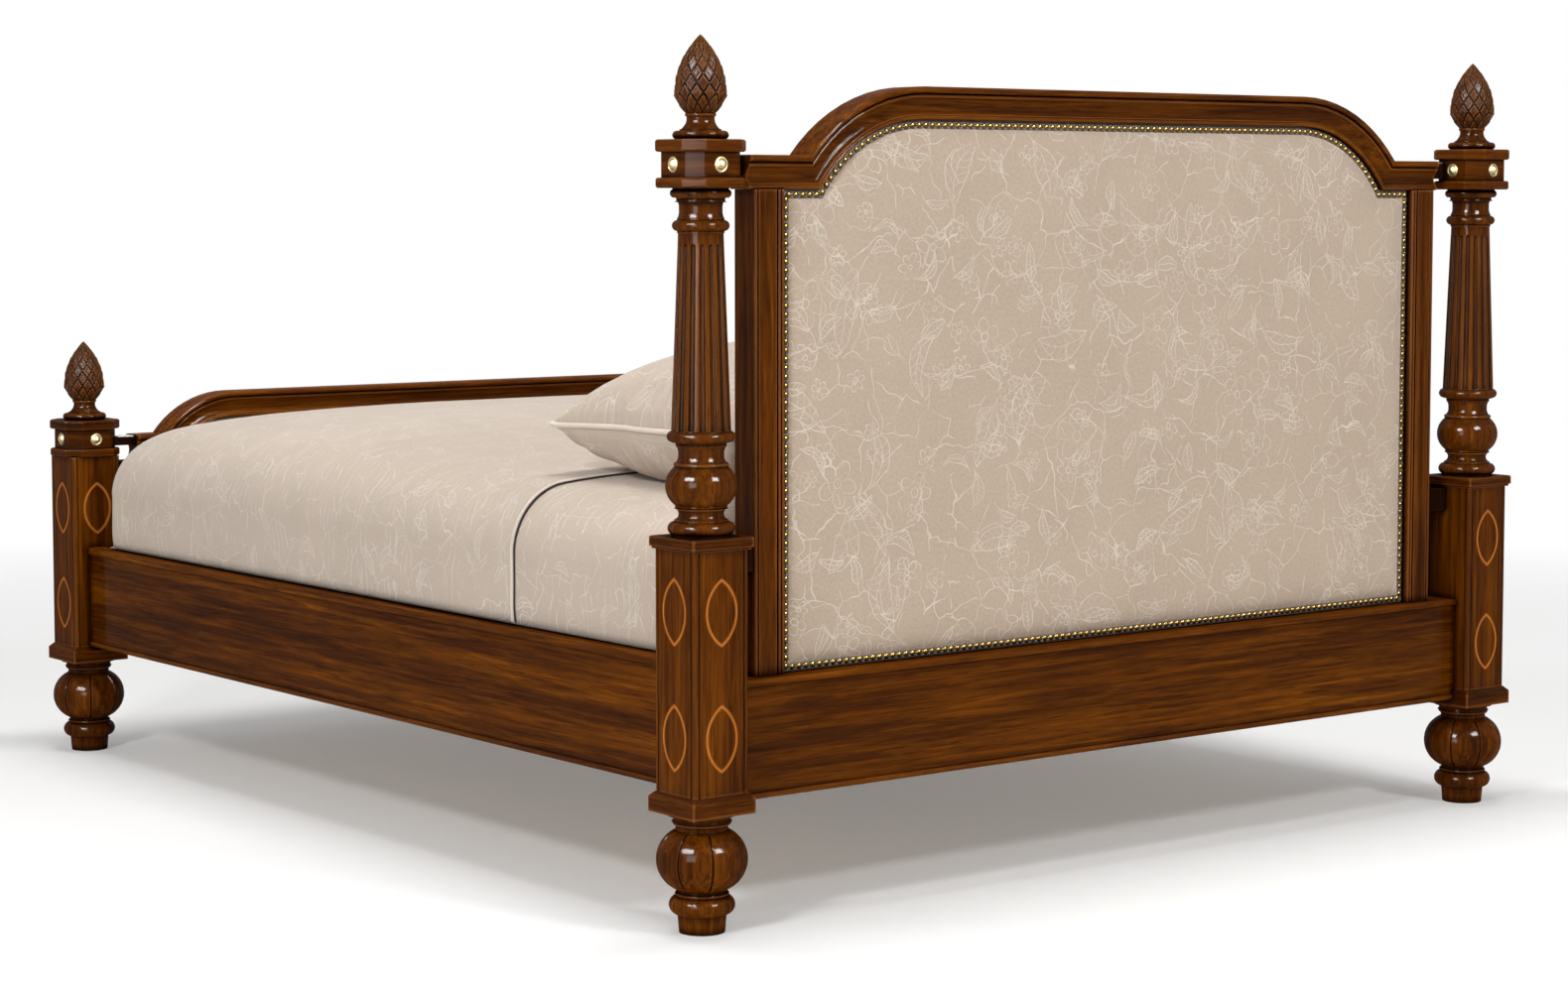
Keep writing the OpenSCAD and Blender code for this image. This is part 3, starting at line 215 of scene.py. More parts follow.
def pine(name, axis):
    """Sawn pine, unfinished: pale growth rings along the board and a dull surface."""
    material, tree, shader = new_material(name)
    place = add(tree, "ShaderNodeTexCoord", out="Object")
    along = add(tree, VECTOR_MATHS, place, ALONG[axis], operation="MULTIPLY")
    rings = add(tree, NOISE, {"Vector": along, "Scale": 1 / PINE_RING, "Detail": 3,
                              "Roughness": 0.5, "Distortion": 0.9})
    rings = add(tree, MATHS, rings, 9.0, operation="MULTIPLY")
    lines = add(tree, MATHS, rings, 1.0, operation="PINGPONG")
    fibres = add(tree, NOISE, {"Vector": along, "Scale": 1 / FIBRE, "Detail": 2,
                               "Roughness": 0.5})
    tone = add(tree, MATHS, fibres, 0.5, operation="MULTIPLY")
    tone = add(tree, MATHS, lines, 0.5, tone, operation="MULTIPLY_ADD")
    colour = with_steps(add(tree, "ShaderNodeValToRGB", tone), PINE_TONES)
    bump = add(tree, "ShaderNodeBump", {"Height": fibres, "Strength": 0.3,
                                        "Distance": 0.3 * MM})
    wire(tree, shader, {"Base Color": colour, "Roughness": 0.72, "Normal": bump})
    return material


TARNISH_PATCH = 4 * MM


def metal(name, colour, tarnish, rough):
    """Spun or pressed metal: a clean crown, with tarnish left low down and in patches."""
    material, tree, shader = new_material(name)
    place = add(tree, "ShaderNodeTexCoord", out="Object")
    patches = add(tree, NOISE, {"Vector": place, "Scale": 1 / TARNISH_PATCH, "Detail": 3,
                                "Roughness": 0.6})
    patches = add(tree, RANGE, patches, 0.45, 0.75)
    hollow = add(tree, "ShaderNodeAmbientOcclusion", {"Distance": TARNISH_PATCH}, out="AO",
                 samples=5)
    low_down = add(tree, RANGE, hollow, 0.25, 0.8, 0.9, 0.0)
    dull = add(tree, MATHS, patches, 0.35, low_down, operation="MULTIPLY_ADD")
    dull = add(tree, MATHS, dull, 1.0, operation="MINIMUM")
    shown = add(tree, MIX, {0: dull, MIX_A: linear(colour), MIX_B: linear(tarnish)},
                out=MIX_RESULT, data_type="RGBA")
    wire(tree, shader, {"Base Color": shown, "Metallic": 1.0,
                        "Roughness": add(tree, RANGE, dull, 0, 1, rough, rough + 0.25)})
    return material


# Threads of the woven pattern: leaves, open flowers and wandering stems, drawn as lines.
# The real threads are half as wide, and are drawn at 1.2 mm so that the render shows them.
THREAD = 1.2 * MM
FLOW_PITCH = 17 * MM
CLOTH_MAP = "cloth"


def line_at(tree, distance, width):
    """A soft edged line where a distance is zero."""
    distance = add(tree, MATHS, distance, operation="ABSOLUTE")
    return add(tree, RANGE, distance, width * 0.5, width, 1.0, 0.0)


def motif_cell(tree, place, size, shift, kept):
    """The nearest motif of a scatter: its own turned coordinates, in metres, two chances
    from 0 to 1, and whether it is one of the kept share of motifs."""
    moved = add(tree, VECTOR_MATHS, place, (shift, shift * 0.7, 0), operation="ADD")
    cell = add(tree, "ShaderNodeTexVoronoi",
               {"Vector": moved, "Scale": 1 / size, "Randomness": 0.9},
               voronoi_dimensions="2D").node.outputs
    local = add(tree, VECTOR_MATHS, moved, cell["Position"], operation="SUBTRACT")
    chance = add(tree, "ShaderNodeSeparateColor", cell["Color"]).node.outputs
    angle = add(tree, MATHS, chance[0], math.tau, operation="MULTIPLY")
    turned = add(tree, "ShaderNodeVectorRotate", {"Vector": local, "Angle": angle},
                 rotation_type="Z_AXIS")
    flat = add(tree, "ShaderNodeSeparateXYZ", turned).node.outputs
    draw = add(tree, MATHS, chance[0], 17.0, operation="MULTIPLY")
    draw = add(tree, MATHS, draw, operation="FRACT")
    present = add(tree, MATHS, draw, kept, operation="LESS_THAN")
    return flat[0], flat[1], chance[1], chance[2], present


def leaf_lines(tree, place, size, shift, kept):
    """Pointed leaves with a midrib that runs on as a stalk, and slanting veins."""
    x, y, first, second, present = motif_cell(tree, place, size, shift, kept)
    half_length = add(tree, MATHS, first, size * 0.16, size * 0.30, operation="MULTIPLY_ADD")
    half_width = add(tree, MATHS, second, size * 0.10, size * 0.09, operation="MULTIPLY_ADD")
    bend = add(tree, MATHS, second, 4.0 / size, -2.0 / size, operation="MULTIPLY_ADD")
    curl = add(tree, MATHS, x, x, operation="MULTIPLY")
    curl = add(tree, MATHS, curl, bend, operation="MULTIPLY")
    side = add(tree, MATHS, y, curl, operation="SUBTRACT")
    side = add(tree, MATHS, side, operation="ABSOLUTE")
    share = add(tree, MATHS, x, half_length, operation="DIVIDE")
    bow = add(tree, MATHS, share, share, operation="MULTIPLY")
    bow = add(tree, MATHS, 1.0, bow, operation="SUBTRACT")
    reach = add(tree, MATHS, half_width, bow, operation="MULTIPLY")
    edge = add(tree, MATHS, side, reach, operation="SUBTRACT")
    within_length = add(tree, MATHS, share, operation="ABSOLUTE")
    within_length = add(tree, RANGE, within_length, 1.0, 1.04, 1.0, 0.0)
    inside = add(tree, RANGE, edge, -THREAD, 0.0, 1.0, 0.0)
    stalk_starts = add(tree, RANGE, share, -1.5, -1.45)
    stalk_ends = add(tree, RANGE, share, 0.75, 0.85, 1.0, 0.0)
    stalk = add(tree, MATHS, line_at(tree, side, THREAD * 0.8), stalk_starts,
                operation="MULTIPLY")
    stalk = add(tree, MATHS, stalk, stalk_ends, operation="MULTIPLY")
    slant = add(tree, MATHS, side, 0.9, operation="MULTIPLY")
    slant = add(tree, MATHS, x, slant, operation="SUBTRACT")
    slant = add(tree, MATHS, slant, size * 0.05, operation="PINGPONG")
    veins = add(tree, MATHS, line_at(tree, slant, THREAD * 0.7), 0.7, operation="MULTIPLY")
    veins = add(tree, MATHS, veins, inside, operation="MULTIPLY")
    veins = add(tree, MATHS, veins, within_length, operation="MULTIPLY")
    outline = add(tree, MATHS, line_at(tree, edge, THREAD), within_length,
                  operation="MULTIPLY")
    drawn = add(tree, MATHS, stalk, veins, operation="MAXIMUM")
    drawn = add(tree, MATHS, outline, drawn, operation="MAXIMUM")
    return add(tree, MATHS, drawn, present, operation="MULTIPLY")


def flower_lines(tree, place, size, shift, petals, kept):
    """Open flowers: a petalled outline, a seam down each petal and a ring at the heart."""
    x, y, first, second, present = motif_cell(tree, place, size, shift, kept)
    from_heart = add(tree, "ShaderNodeCombineXYZ", x, y)
    distance = add(tree, VECTOR_MATHS, from_heart, out="Value", operation="LENGTH")
    lobe = add(tree, MATHS, y, x, operation="ARCTAN2")
    lobe = add(tree, MATHS, lobe, petals / 2, operation="MULTIPLY")
    lobe = add(tree, MATHS, lobe, operation="COSINE")
    lobe = add(tree, MATHS, lobe, operation="ABSOLUTE")
    reach = add(tree, MATHS, first, size * 0.12, size * 0.22, operation="MULTIPLY_ADD")
    outline = add(tree, MATHS, lobe, 0.5, 0.5, operation="MULTIPLY_ADD")
    outline = add(tree, MATHS, reach, outline, operation="MULTIPLY")
    beyond = add(tree, MATHS, distance, outline, operation="SUBTRACT")
    heart = add(tree, MATHS, second, 0.1, 0.13, operation="MULTIPLY_ADD")
    heart = add(tree, MATHS, reach, heart, operation="MULTIPLY")
    heart = add(tree, MATHS, distance, heart, operation="SUBTRACT")
    within_petal = add(tree, RANGE, beyond, -THREAD, 0.0, 1.0, 0.0)
    out_of_heart = add(tree, RANGE, heart, 0.0, THREAD)
    seams = add(tree, MATHS, lobe, distance, operation="MULTIPLY")
    seams = add(tree, MATHS, line_at(tree, seams, THREAD), within_petal,
                operation="MULTIPLY")
    seams = add(tree, MATHS, seams, out_of_heart, operation="MULTIPLY")
    drawn = add(tree, MATHS, line_at(tree, beyond, THREAD), line_at(tree, heart, THREAD),
                operation="MAXIMUM")
    drawn = add(tree, MATHS, drawn, seams, operation="MAXIMUM")
    return add(tree, MATHS, drawn, present, operation="MULTIPLY")


def stem_lines(tree, place, size, shift, kept):
    """Wandering stems: the seams of bent cells, broken up into lengths."""
    moved = add(tree, VECTOR_MATHS, place, (shift, -shift, 0), operation="ADD")
    gap = add(tree, "ShaderNodeTexVoronoi", {"Vector": moved, "Scale": 1 / size},
              out="Distance", voronoi_dimensions="2D", feature="DISTANCE_TO_EDGE")
    gap = add(tree, MATHS, gap, size, operation="MULTIPLY")
    present = add(tree, NOISE, {"Vector": moved, "Scale": 1 / (size * 0.9), "Detail": 2,
                                "Roughness": 0.55})
    present = add(tree, RANGE, present, 0.62 - kept * 0.3, 0.65 - kept * 0.3)
    return add(tree, MATHS, line_at(tree, gap, THREAD), present, operation="MULTIPLY")


def flow_lines(tree, place, shift):
    """Nested lines that run down the cloth like drawn out ripples, broken up into lengths."""
    moved = add(tree, VECTOR_MATHS, place, (shift, shift, 0), operation="ADD")
    bands = add(tree, "ShaderNodeTexWave",
                {"Vector": moved, "Scale": math.tau / (20 * FLOW_PITCH), "Distortion": 11.0,
                 "Detail": 1.0, "Detail Scale": 0.5},
                out="Fac", wave_type="BANDS", bands_direction="Y")
    bands = add(tree, RANGE, bands, 0.92, 0.99)
    present = add(tree, NOISE, {"Vector": moved, "Scale": 1 / (60 * MM), "Detail": 2,
                                "Roughness": 0.55})
    present = add(tree, RANGE, present, 0.50, 0.60)
    return add(tree, MATHS, bands, present, operation="MULTIPLY")


def swayed(tree, place, size, amount):
    """A place moved by smooth noise, so that drawn lines look hand made."""
    push = add(tree, NOISE, {"Vector": place, "Scale": 1 / size, "Detail": 2.0}, out="Color")
    push = add(tree, VECTOR_MATHS, push, (0.5, 0.5, 0.5), operation="SUBTRACT")
    push = add(tree, VECTOR_MATHS, push, (amount, amount, 0), operation="MULTIPLY")
    return add(tree, VECTOR_MATHS, place, push, operation="ADD")


def thread_pattern(name, flowing):
    """A group that gives how much pattern thread lies at a place on the cloth. Each layer
    has its motifs' size in metres, its own shift, so that no two layers share their places,
    and how many are kept. A flowing pattern has ripples in place of flowers."""
    tree = bpy.data.node_groups.new(name, "ShaderNodeTree")
    tree.interface.new_socket("Place", in_out="INPUT", socket_type="NodeSocketVector")
    tree.interface.new_socket("Thread", in_out="OUTPUT", socket_type="NodeSocketFloat")
    place = add(tree, "NodeGroupInput")
    bent = swayed(tree, place, size=60 * MM, amount=55 * MM)
    softly = swayed(tree, place, size=32 * MM, amount=15 * MM)
    layers = [leaf_lines(tree, softly, 0.075, 1.7, 0.55),
              stem_lines(tree, bent, 0.130, 5.3, 0.6),
              stem_lines(tree, bent, 0.060, 7.7, 0.5)]
    if flowing:
        layers.append(flow_lines(tree, softly, 2.2))
    else:
        layers += [leaf_lines(tree, softly, 0.150, 0.3, 0.6),
                   flower_lines(tree, softly, 0.140, 2.9, 5, 0.5),
                   flower_lines(tree, softly, 0.070, 4.1, 6, 0.45)]
    total = layers[0]
    for layer in layers[1:]:
        total = add(tree, MATHS, total, layer, operation="MAXIMUM")
    strength = add(tree, NOISE, {"Vector": place, "Scale": 1 / (45 * MM), "Detail": 3,
                                 "Roughness": 0.55})
    strength = add(tree, RANGE, strength, 0.32, 0.60, 0.3, 1.0)
    add(tree, "NodeGroupOutput", add(tree, MATHS, total, strength, operation="MULTIPLY"))
    return tree


PANEL_PATTERN = thread_pattern("woven stems and leaves", False)
BEDDING_PATTERN = thread_pattern("woven ripples and leaves", True)
YARN = 1.1 * MM
SLUB = 6 * MM
CLOUD = 160 * MM


def linen(name, drawing, ground, thread, warm, lines_share=0.6):
    """Linen and cotton cloth, jacquard woven: the eye sees a dull, slightly slubbed ground
    with raised pale threads and a soft bloom where it turns away. Its real yarn is 0.4 mm
    wide, and is drawn at 1.1 mm so that the render shows it."""
    material, tree, shader = new_material(name)
    place = add(tree, "ShaderNodeUVMap", uv_map=CLOTH_MAP)
    drawn = add(tree, "ShaderNodeGroup", place, node_tree=drawing)
    lines = add(tree, MATHS, drawn, lines_share, operation="MULTIPLY")
    axes = add(tree, "ShaderNodeSeparateXYZ", place).node.outputs
    warp = add(tree, MATHS, axes[0], math.tau / YARN, operation="MULTIPLY")
    weft = add(tree, MATHS, axes[1], math.tau / YARN, operation="MULTIPLY")
    weave = add(tree, MATHS, add(tree, MATHS, warp, operation="SINE"),
                add(tree, MATHS, weft, operation="SINE"), operation="MULTIPLY")
    weave = add(tree, MATHS, weave, 0.5, 0.5, operation="MULTIPLY_ADD")
    slub = add(tree, NOISE, {"Vector": place, "Scale": 1 / SLUB, "Detail": 5,
                             "Roughness": 0.75})
    slub = add(tree, RANGE, slub, 0.3, 0.7)
    slub = add(tree, MATHS, slub, 0.22, operation="MULTIPLY")
    cloud = add(tree, NOISE, {"Vector": place, "Scale": 1 / CLOUD, "Detail": 2,
                              "Roughness": 0.5})
    cloud = add(tree, RANGE, cloud, 0.35, 0.65)
    base = add(tree, MIX, {0: cloud, MIX_A: linear(ground), MIX_B: linear(warm)},
               out=MIX_RESULT, data_type="RGBA")
    base = add(tree, MIX, {0: slub, MIX_A: base, MIX_B: linear(thread)},
               out=MIX_RESULT, data_type="RGBA")
    base = add(tree, MIX, {0: lines, MIX_A: base, MIX_B: linear(thread)},
               out=MIX_RESULT, data_type="RGBA")
    height = add(tree, MATHS, weave, 0.22, lines, operation="MULTIPLY_ADD")
    bump = add(tree, "ShaderNodeBump", {"Height": height, "Strength": 0.45,
                                        "Distance": 0.6 * MM})
    wire(tree, shader, {"Base Color": base, "Roughness": 0.85, "Specular IOR Level": 0.15,
                        "Sheen Weight": 0.35, "Sheen Roughness": 0.45, "Normal": bump})
    return material


def braid(name):
    """Cotton gimp, braided: dull and dark brown, with a gold thread that shows as specks."""
    material, tree, shader = new_material(name)
    place = add(tree, "ShaderNodeTexCoord", out="Object")
    specks, shades, twist = [
        add(tree, NOISE, {"Vector": place, "Scale": 1 / size, "Detail": detail,
                          "Roughness": 0.55})
        for size, detail in ((2.2 * MM, 2), (5 * MM, 3), (1.5 * MM, 2))]
    specks = add(tree, RANGE, specks, 0.60, 0.68)
    base = add(tree, MIX, {0: shades, MIX_A: linear("#1a0d05"), MIX_B: linear("#3a2110")},
               out=MIX_RESULT, data_type="RGBA")
    base = add(tree, MIX, {0: specks, MIX_A: base, MIX_B: linear("#8d6a2c")},
               out=MIX_RESULT, data_type="RGBA")
    bump = add(tree, "ShaderNodeBump", {"Height": twist, "Strength": 0.5,
                                        "Distance": 0.6 * MM})
    wire(tree, shader, {"Base Color": base, "Roughness": 0.7, "Normal": bump})
    return material


# Rails and crowns are warm and straight grained under a thin gloss, the posts a shade darker.
# Turned and fluted work has more arrises, worn paler and painted lighter as highlights. Carved
# work is browner, and its coat is hazier, as a rag can't buff its hollows.
WALNUT = {axis: lacquered("lacquered walnut along " + axis, axis, RAIL_TONES) for axis in "xy"}
WALNUT["z"] = lacquered("lacquered walnut along z", "z", POST_TONES)
WALNUT["level"] = lacquered("lacquered walnut mouldings", "level", POST_TONES)
TURNED = lacquered("turned and fluted walnut", "z", POST_TONES, 0.10, "#b06c32", 1.0)
CARVED = lacquered("carved walnut", "z", CARVED_TONES, 0.10, "#9c6533", 0.7, 0.30)
# Tenons and spacers are coloured nearly black as painted shade, so that the joints read as shaded
# gaps.
JOINT_SHADE = lacquered("walnut painted as joint shade", "z", JOINT_SHADE_TONES, 0.05, "#3a1e0e", 0.4)
# The inlay is a thin line of honey coloured wood, let in flush.
INLAY = lacquered("satinwood inlay", "z", INLAY_TONES, 0.08, "#c4772c", 0.3)
# Pine is pale and dull wherever the bedding hides the frame.
PINE = {axis: pine("sawn pine along " + axis, axis) for axis in "xyz"}
# The bosses are pale yellow brass. The nails are darker, aged and bright on their domes.
# The steel fittings are grey, with a dull zinc skin.
BRASS = metal("pressed brass", "#a8966e", "#3a260c", 0.34)
NAIL = metal("antique brass nail", "#5f4924", "#150c05", 0.26)
STEEL = metal("zinc plated steel", "#a8a8aa", "#55524e", 0.35)
# The panels' cloth is warm beige with cream flowers, the bedding's paler, with ripples.
# The foundation's is plain, the piping paler than what it edges, and a dark brown cord beside the
# coverlet's hem is painted shadow.
UPHOLSTERY = linen("woven panel cloth", PANEL_PATTERN, "#af9983", "#e4dacd", "#b49e88", 0.62)
BEDDING = linen("woven bedding cloth", BEDDING_PATTERN, "#b6a492", "#e0d7cc", "#bba896", 0.6)
TICKING = linen("plain foundation cloth", BEDDING_PATTERN, "#b9aa98", "#cfc2b2", "#b4a492", 0.0)
PIPED = linen("pale piping cloth", BEDDING_PATTERN, "#d6c8b9", "#e9e1d7", "#dacdbf", 0.0)
HEM_SHADOW = linen("dark cord painted as hem shadow", BEDDING_PATTERN, "#241207", "#3f2714", "#1e0f06", 0.0)
GIMP = braid("cotton gimp")


# Finishes of the construction's own pieces
GRAIN_X = ("head_crown", "head_bottom_rail", "foot_crown", "foot_bottom_rail")
GRAIN_Y = ("side_rail_l", "side_rail_r")
MOULDED = ("plinth", "block_cap", "collar")
POSTS = ("hl", "hr", "fl", "fr")


def finish_of(node):
    """The material of one of the construction's nodes."""
    if node == "collar_bosses":
        return BRASS
    if node == "inlay_ovals":
        return INLAY
    if node in ("crown_brackets", "rail_hooks", "post_keepers"):
        return STEEL
    if node.endswith("_tenons") or node.endswith("_spacers"):
        return JOINT_SHADE
    if node in ("head_core", "foot_core", "slats_across"):
        return PINE["x"]
    if node in ("side_cleat_l", "side_cleat_r", "centre_beam"):
        return PINE["y"]
    if node == "centre_leg":
        return PINE["z"]
    if node in GRAIN_X:
        return WALNUT["x"]
    if node in GRAIN_Y:
        return WALNUT["y"]
    if node[:-3] in MOULDED:
        return WALNUT["level"]
    if node.startswith("column_"):
        return TURNED
    return WALNUT["z"]


for node_name, node_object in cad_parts.items():
    node_object.data.materials.clear()
    node_object.data.materials.append(finish_of(node_name))


# Meshes
def lay_cloth(mesh, places):
    """Writes each point's place on the cloth, in metres, as the piece's own UV map."""
    layer = mesh.uv_layers.get(CLOTH_MAP) or mesh.uv_layers.new(name=CLOTH_MAP)
    corner = np.zeros(len(mesh.loops), int)
    mesh.loops.foreach_get("vertex_index", corner)
    layer.data.foreach_set("uv", np.asarray(places, float)[corner].ravel())


def points_of(mesh):
    """The mesh's points as rows of x, y and z."""
    flat = np.zeros(len(mesh.vertices) * 3)
    mesh.vertices.foreach_get("co", flat)
    return flat.reshape(-1, 3)


def mesh_piece(name, points, faces, material, cloth=None, smooth=True):
    """An object at the origin from points and faces. cloth is each point's place on the cloth."""
    mesh = bpy.data.meshes.new(name)
    mesh.from_pydata([tuple(p) for p in points], [], faces)
    mesh.update()
    if cloth is not None:
        lay_cloth(mesh, cloth)
    if smooth:
        mesh.polygons.foreach_set("use_smooth", [True] * len(mesh.polygons))
    mesh.materials.append(material)
    made = bpy.data.objects.new(name, mesh)
    SCENE.collection.objects.link(made)
    return made


def loft_faces(rows, columns, closed_rows=False, caps=True):
    """Faces between rings of points: each ring closed, and a middle point after the last
    ring for each end where caps are wanted."""
    faces = []
    last = rows if closed_rows else rows - 1
    for j in range(last):
        k = (j + 1) % rows
        for i in range(columns):
            n = (i + 1) % columns
            faces.append((j * columns + i, j * columns + n, k * columns + n, k * columns + i))
    if caps and not closed_rows:
        low, high = rows * columns, rows * columns + 1
        top = (rows - 1) * columns
        for i in range(columns):
            n = (i + 1) % columns
            faces.append((low, n, i))
            faces.append((high, top + i, top + n))
    return faces


def facing_out(piece):
    """Turns every face of a closed piece outwards."""
    shape = bmesh.new()
    shape.from_mesh(piece.data)
    bmesh.ops.recalc_face_normals(shape, faces=shape.faces)
    if shape.calc_volume(signed=True) < 0:
        bmesh.ops.reverse_faces(shape, faces=shape.faces)
    shape.to_mesh(piece.data)
    shape.free()
    return piece


def settle(piece, slot, *replaced):
    """Rides the piece on the bed and hides the parts that it stands for. Its slot is not used."""
    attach(piece, "root")
    if replaced:
        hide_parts(*replaced)
    return piece


def wander(point, size, seed):
    """Smooth noise from -1 to 1 with features about size metres across."""
    return noise.noise(Vector(point) / size + Vector((seed, seed * 2.3, seed * 0.7)))


# Geometry node trees
def inputs_of(tree, named):
    """Makes the tree's inputs, a dict of name to socket type, and returns their sockets."""
    for name, kind in named.items():
        tree.interface.new_socket(name, in_out="INPUT", socket_type="NodeSocket" + kind)
    tree.interface.new_socket("Result", in_out="OUTPUT", socket_type="NodeSocketGeometry")
    return add(tree, "NodeGroupInput").node.outputs


def grown(name, source, tree, values):
    """Runs a geometry tree on a mesh and returns the result as a plain mesh object."""
    modifier = source.modifiers.new("grow", "NODES")
    modifier.node_group = tree
    for item in tree.interface.items_tree:
        if item.item_type == "SOCKET" and item.in_out == "INPUT" and item.name in values:
            modifier[item.identifier] = values[item.name]
    bpy.context.view_layer.update()
    depsgraph = bpy.context.evaluated_depsgraph_get()
    mesh = bpy.data.meshes.new_from_object(source.evaluated_get(depsgraph), depsgraph=depsgraph)
    mesh.name = name
    bpy.data.objects.remove(source)
    made = bpy.data.objects.new(name, mesh)
    SCENE.collection.objects.link(made)
    return made


def path_object(points, closed):
    """A line of edges through points."""
    mesh = bpy.data.meshes.new("path")
    edges = [(i, i + 1) for i in range(len(points) - 1)]
    if closed:
        edges.append((len(points) - 1, 0))
    mesh.from_pydata([tuple(p) for p in points], edges, [])
    made = bpy.data.objects.new("path", mesh)
    SCENE.collection.objects.link(made)
    return made


def finished(tree, shape, finish):
    """Ends a tree: its shape is smooth, real and of one finish."""
    shape = add(tree, "GeometryNodeSetShadeSmooth", shape)
    shape = add(tree, "GeometryNodeRealizeInstances", shape)
    shape = add(tree, "GeometryNodeSetMaterial", {"Geometry": shape, "Material": finish})
    add(tree, "NodeGroupOutput", shape)
    return tree


def half_ball(tree, radius, height, segments, rings):
    """A half ball, pressed to a height."""
    dome = add(tree, "GeometryNodeMeshUVSphere",
               {"Segments": segments, "Rings": rings, "Radius": radius})
    press = add(tree, MATHS, height, radius, operation="DIVIDE")
    press = add(tree, "ShaderNodeCombineXYZ", 1.0, 1.0, press)
    dome = add(tree, "GeometryNodeTransform", {"Geometry": dome, "Scale": press})
    place = add(tree, "GeometryNodeInputPosition")
    level = add(tree, "ShaderNodeSeparateXYZ", place, out=2)
    under = add(tree, "FunctionNodeCompare", level, -1e-5, operation="LESS_THAN")
    return add(tree, "GeometryNodeDeleteGeometry", {"Geometry": dome, "Selection": under})


def nails_tree():
    """Domed nail heads along a line, with a small bead between each two."""
    tree = bpy.data.node_groups.new("nails along an edge", "GeometryNodeTree")
    given = inputs_of(tree, {"Line": "Geometry", "Pitch": "Float", "Head radius": "Float",
                             "Head height": "Float", "Bead radius": "Float",
                             "Outwards": "Vector", "Finish": "Material"})
    curve = add(tree, "GeometryNodeMeshToCurve", given["Line"])
    half = add(tree, MATHS, given["Pitch"], 2.0, operation="DIVIDE")
    points = add(tree, "GeometryNodeCurveToPoints", {"Curve": curve, "Length": half},
                 out="Points", mode="LENGTH")
    odd = add(tree, MATHS, add(tree, "GeometryNodeInputIndex"), 2.0, operation="MODULO")
    turn = add(tree, "FunctionNodeAlignRotationToVector", {"Vector": given["Outwards"]},
               axis="Z")
    head = half_ball(tree, given["Head radius"], given["Head height"], 12, 8)
    bead = half_ball(tree, given["Bead radius"], given["Bead radius"], 6, 4)
    joined = add(tree, "GeometryNodeJoinGeometry")
    for dome, every_other in ((head, 0.0), (bead, 1.0)):
        chosen = add(tree, "FunctionNodeCompare", {0: odd, 1: every_other, "Epsilon": 0.1},
                     operation="EQUAL")
        placed = add(tree, "GeometryNodeInstanceOnPoints",
                     {"Points": points, "Selection": chosen, "Instance": dome,
                      "Rotation": turn})
        wire(tree, joined.node, {0: placed})
    return finished(tree, joined, given["Finish"])


def cord_tree():
    """A round cord along a line, for piping and hems."""
    tree = bpy.data.node_groups.new("cord along a seam", "GeometryNodeTree")
    given = inputs_of(tree, {"Line": "Geometry", "Radius": "Float", "Step": "Float",
                             "Finish": "Material"})
    curve = add(tree, "GeometryNodeMeshToCurve", given["Line"])
    curve = add(tree, "GeometryNodeResampleCurve", {"Curve": curve, "Length": given["Step"]},
                mode="LENGTH")
    section = add(tree, "GeometryNodeCurvePrimitiveCircle",
                  {"Resolution": 10, "Radius": given["Radius"]})
    cord = add(tree, "GeometryNodeCurveToMesh",
               {"Curve": curve, "Profile Curve": section, "Fill Caps": True})
    return finished(tree, cord, given["Finish"])


NAILS_TREE = nails_tree()
CORD_TREE = cord_tree()
CORD_STEP = 4 * MM
CORD_SLANT = 0.7


def corded(name, points, closed, radius, material):
    """A cord along points, with cloth coordinates from its place."""
    made = grown(name, path_object(points, closed), CORD_TREE,
                 {"Radius": radius, "Step": CORD_STEP, "Finish": material})
    place = points_of(made.data)
    lay_cloth(made.data, place[:, :2] + place[:, 2:] * CORD_SLANT)
    return made


# The panels' openings, from the boards round them
CROWN_WIDTH = 54 * MM
ARC_RADIUS = {"head": 314 * MM, "foot": 212 * MM}
SHOULDER_LENGTH = {"head": 120 * MM, "foot": 60 * MM}
OUTLINE_STEP = 3.5 * MM


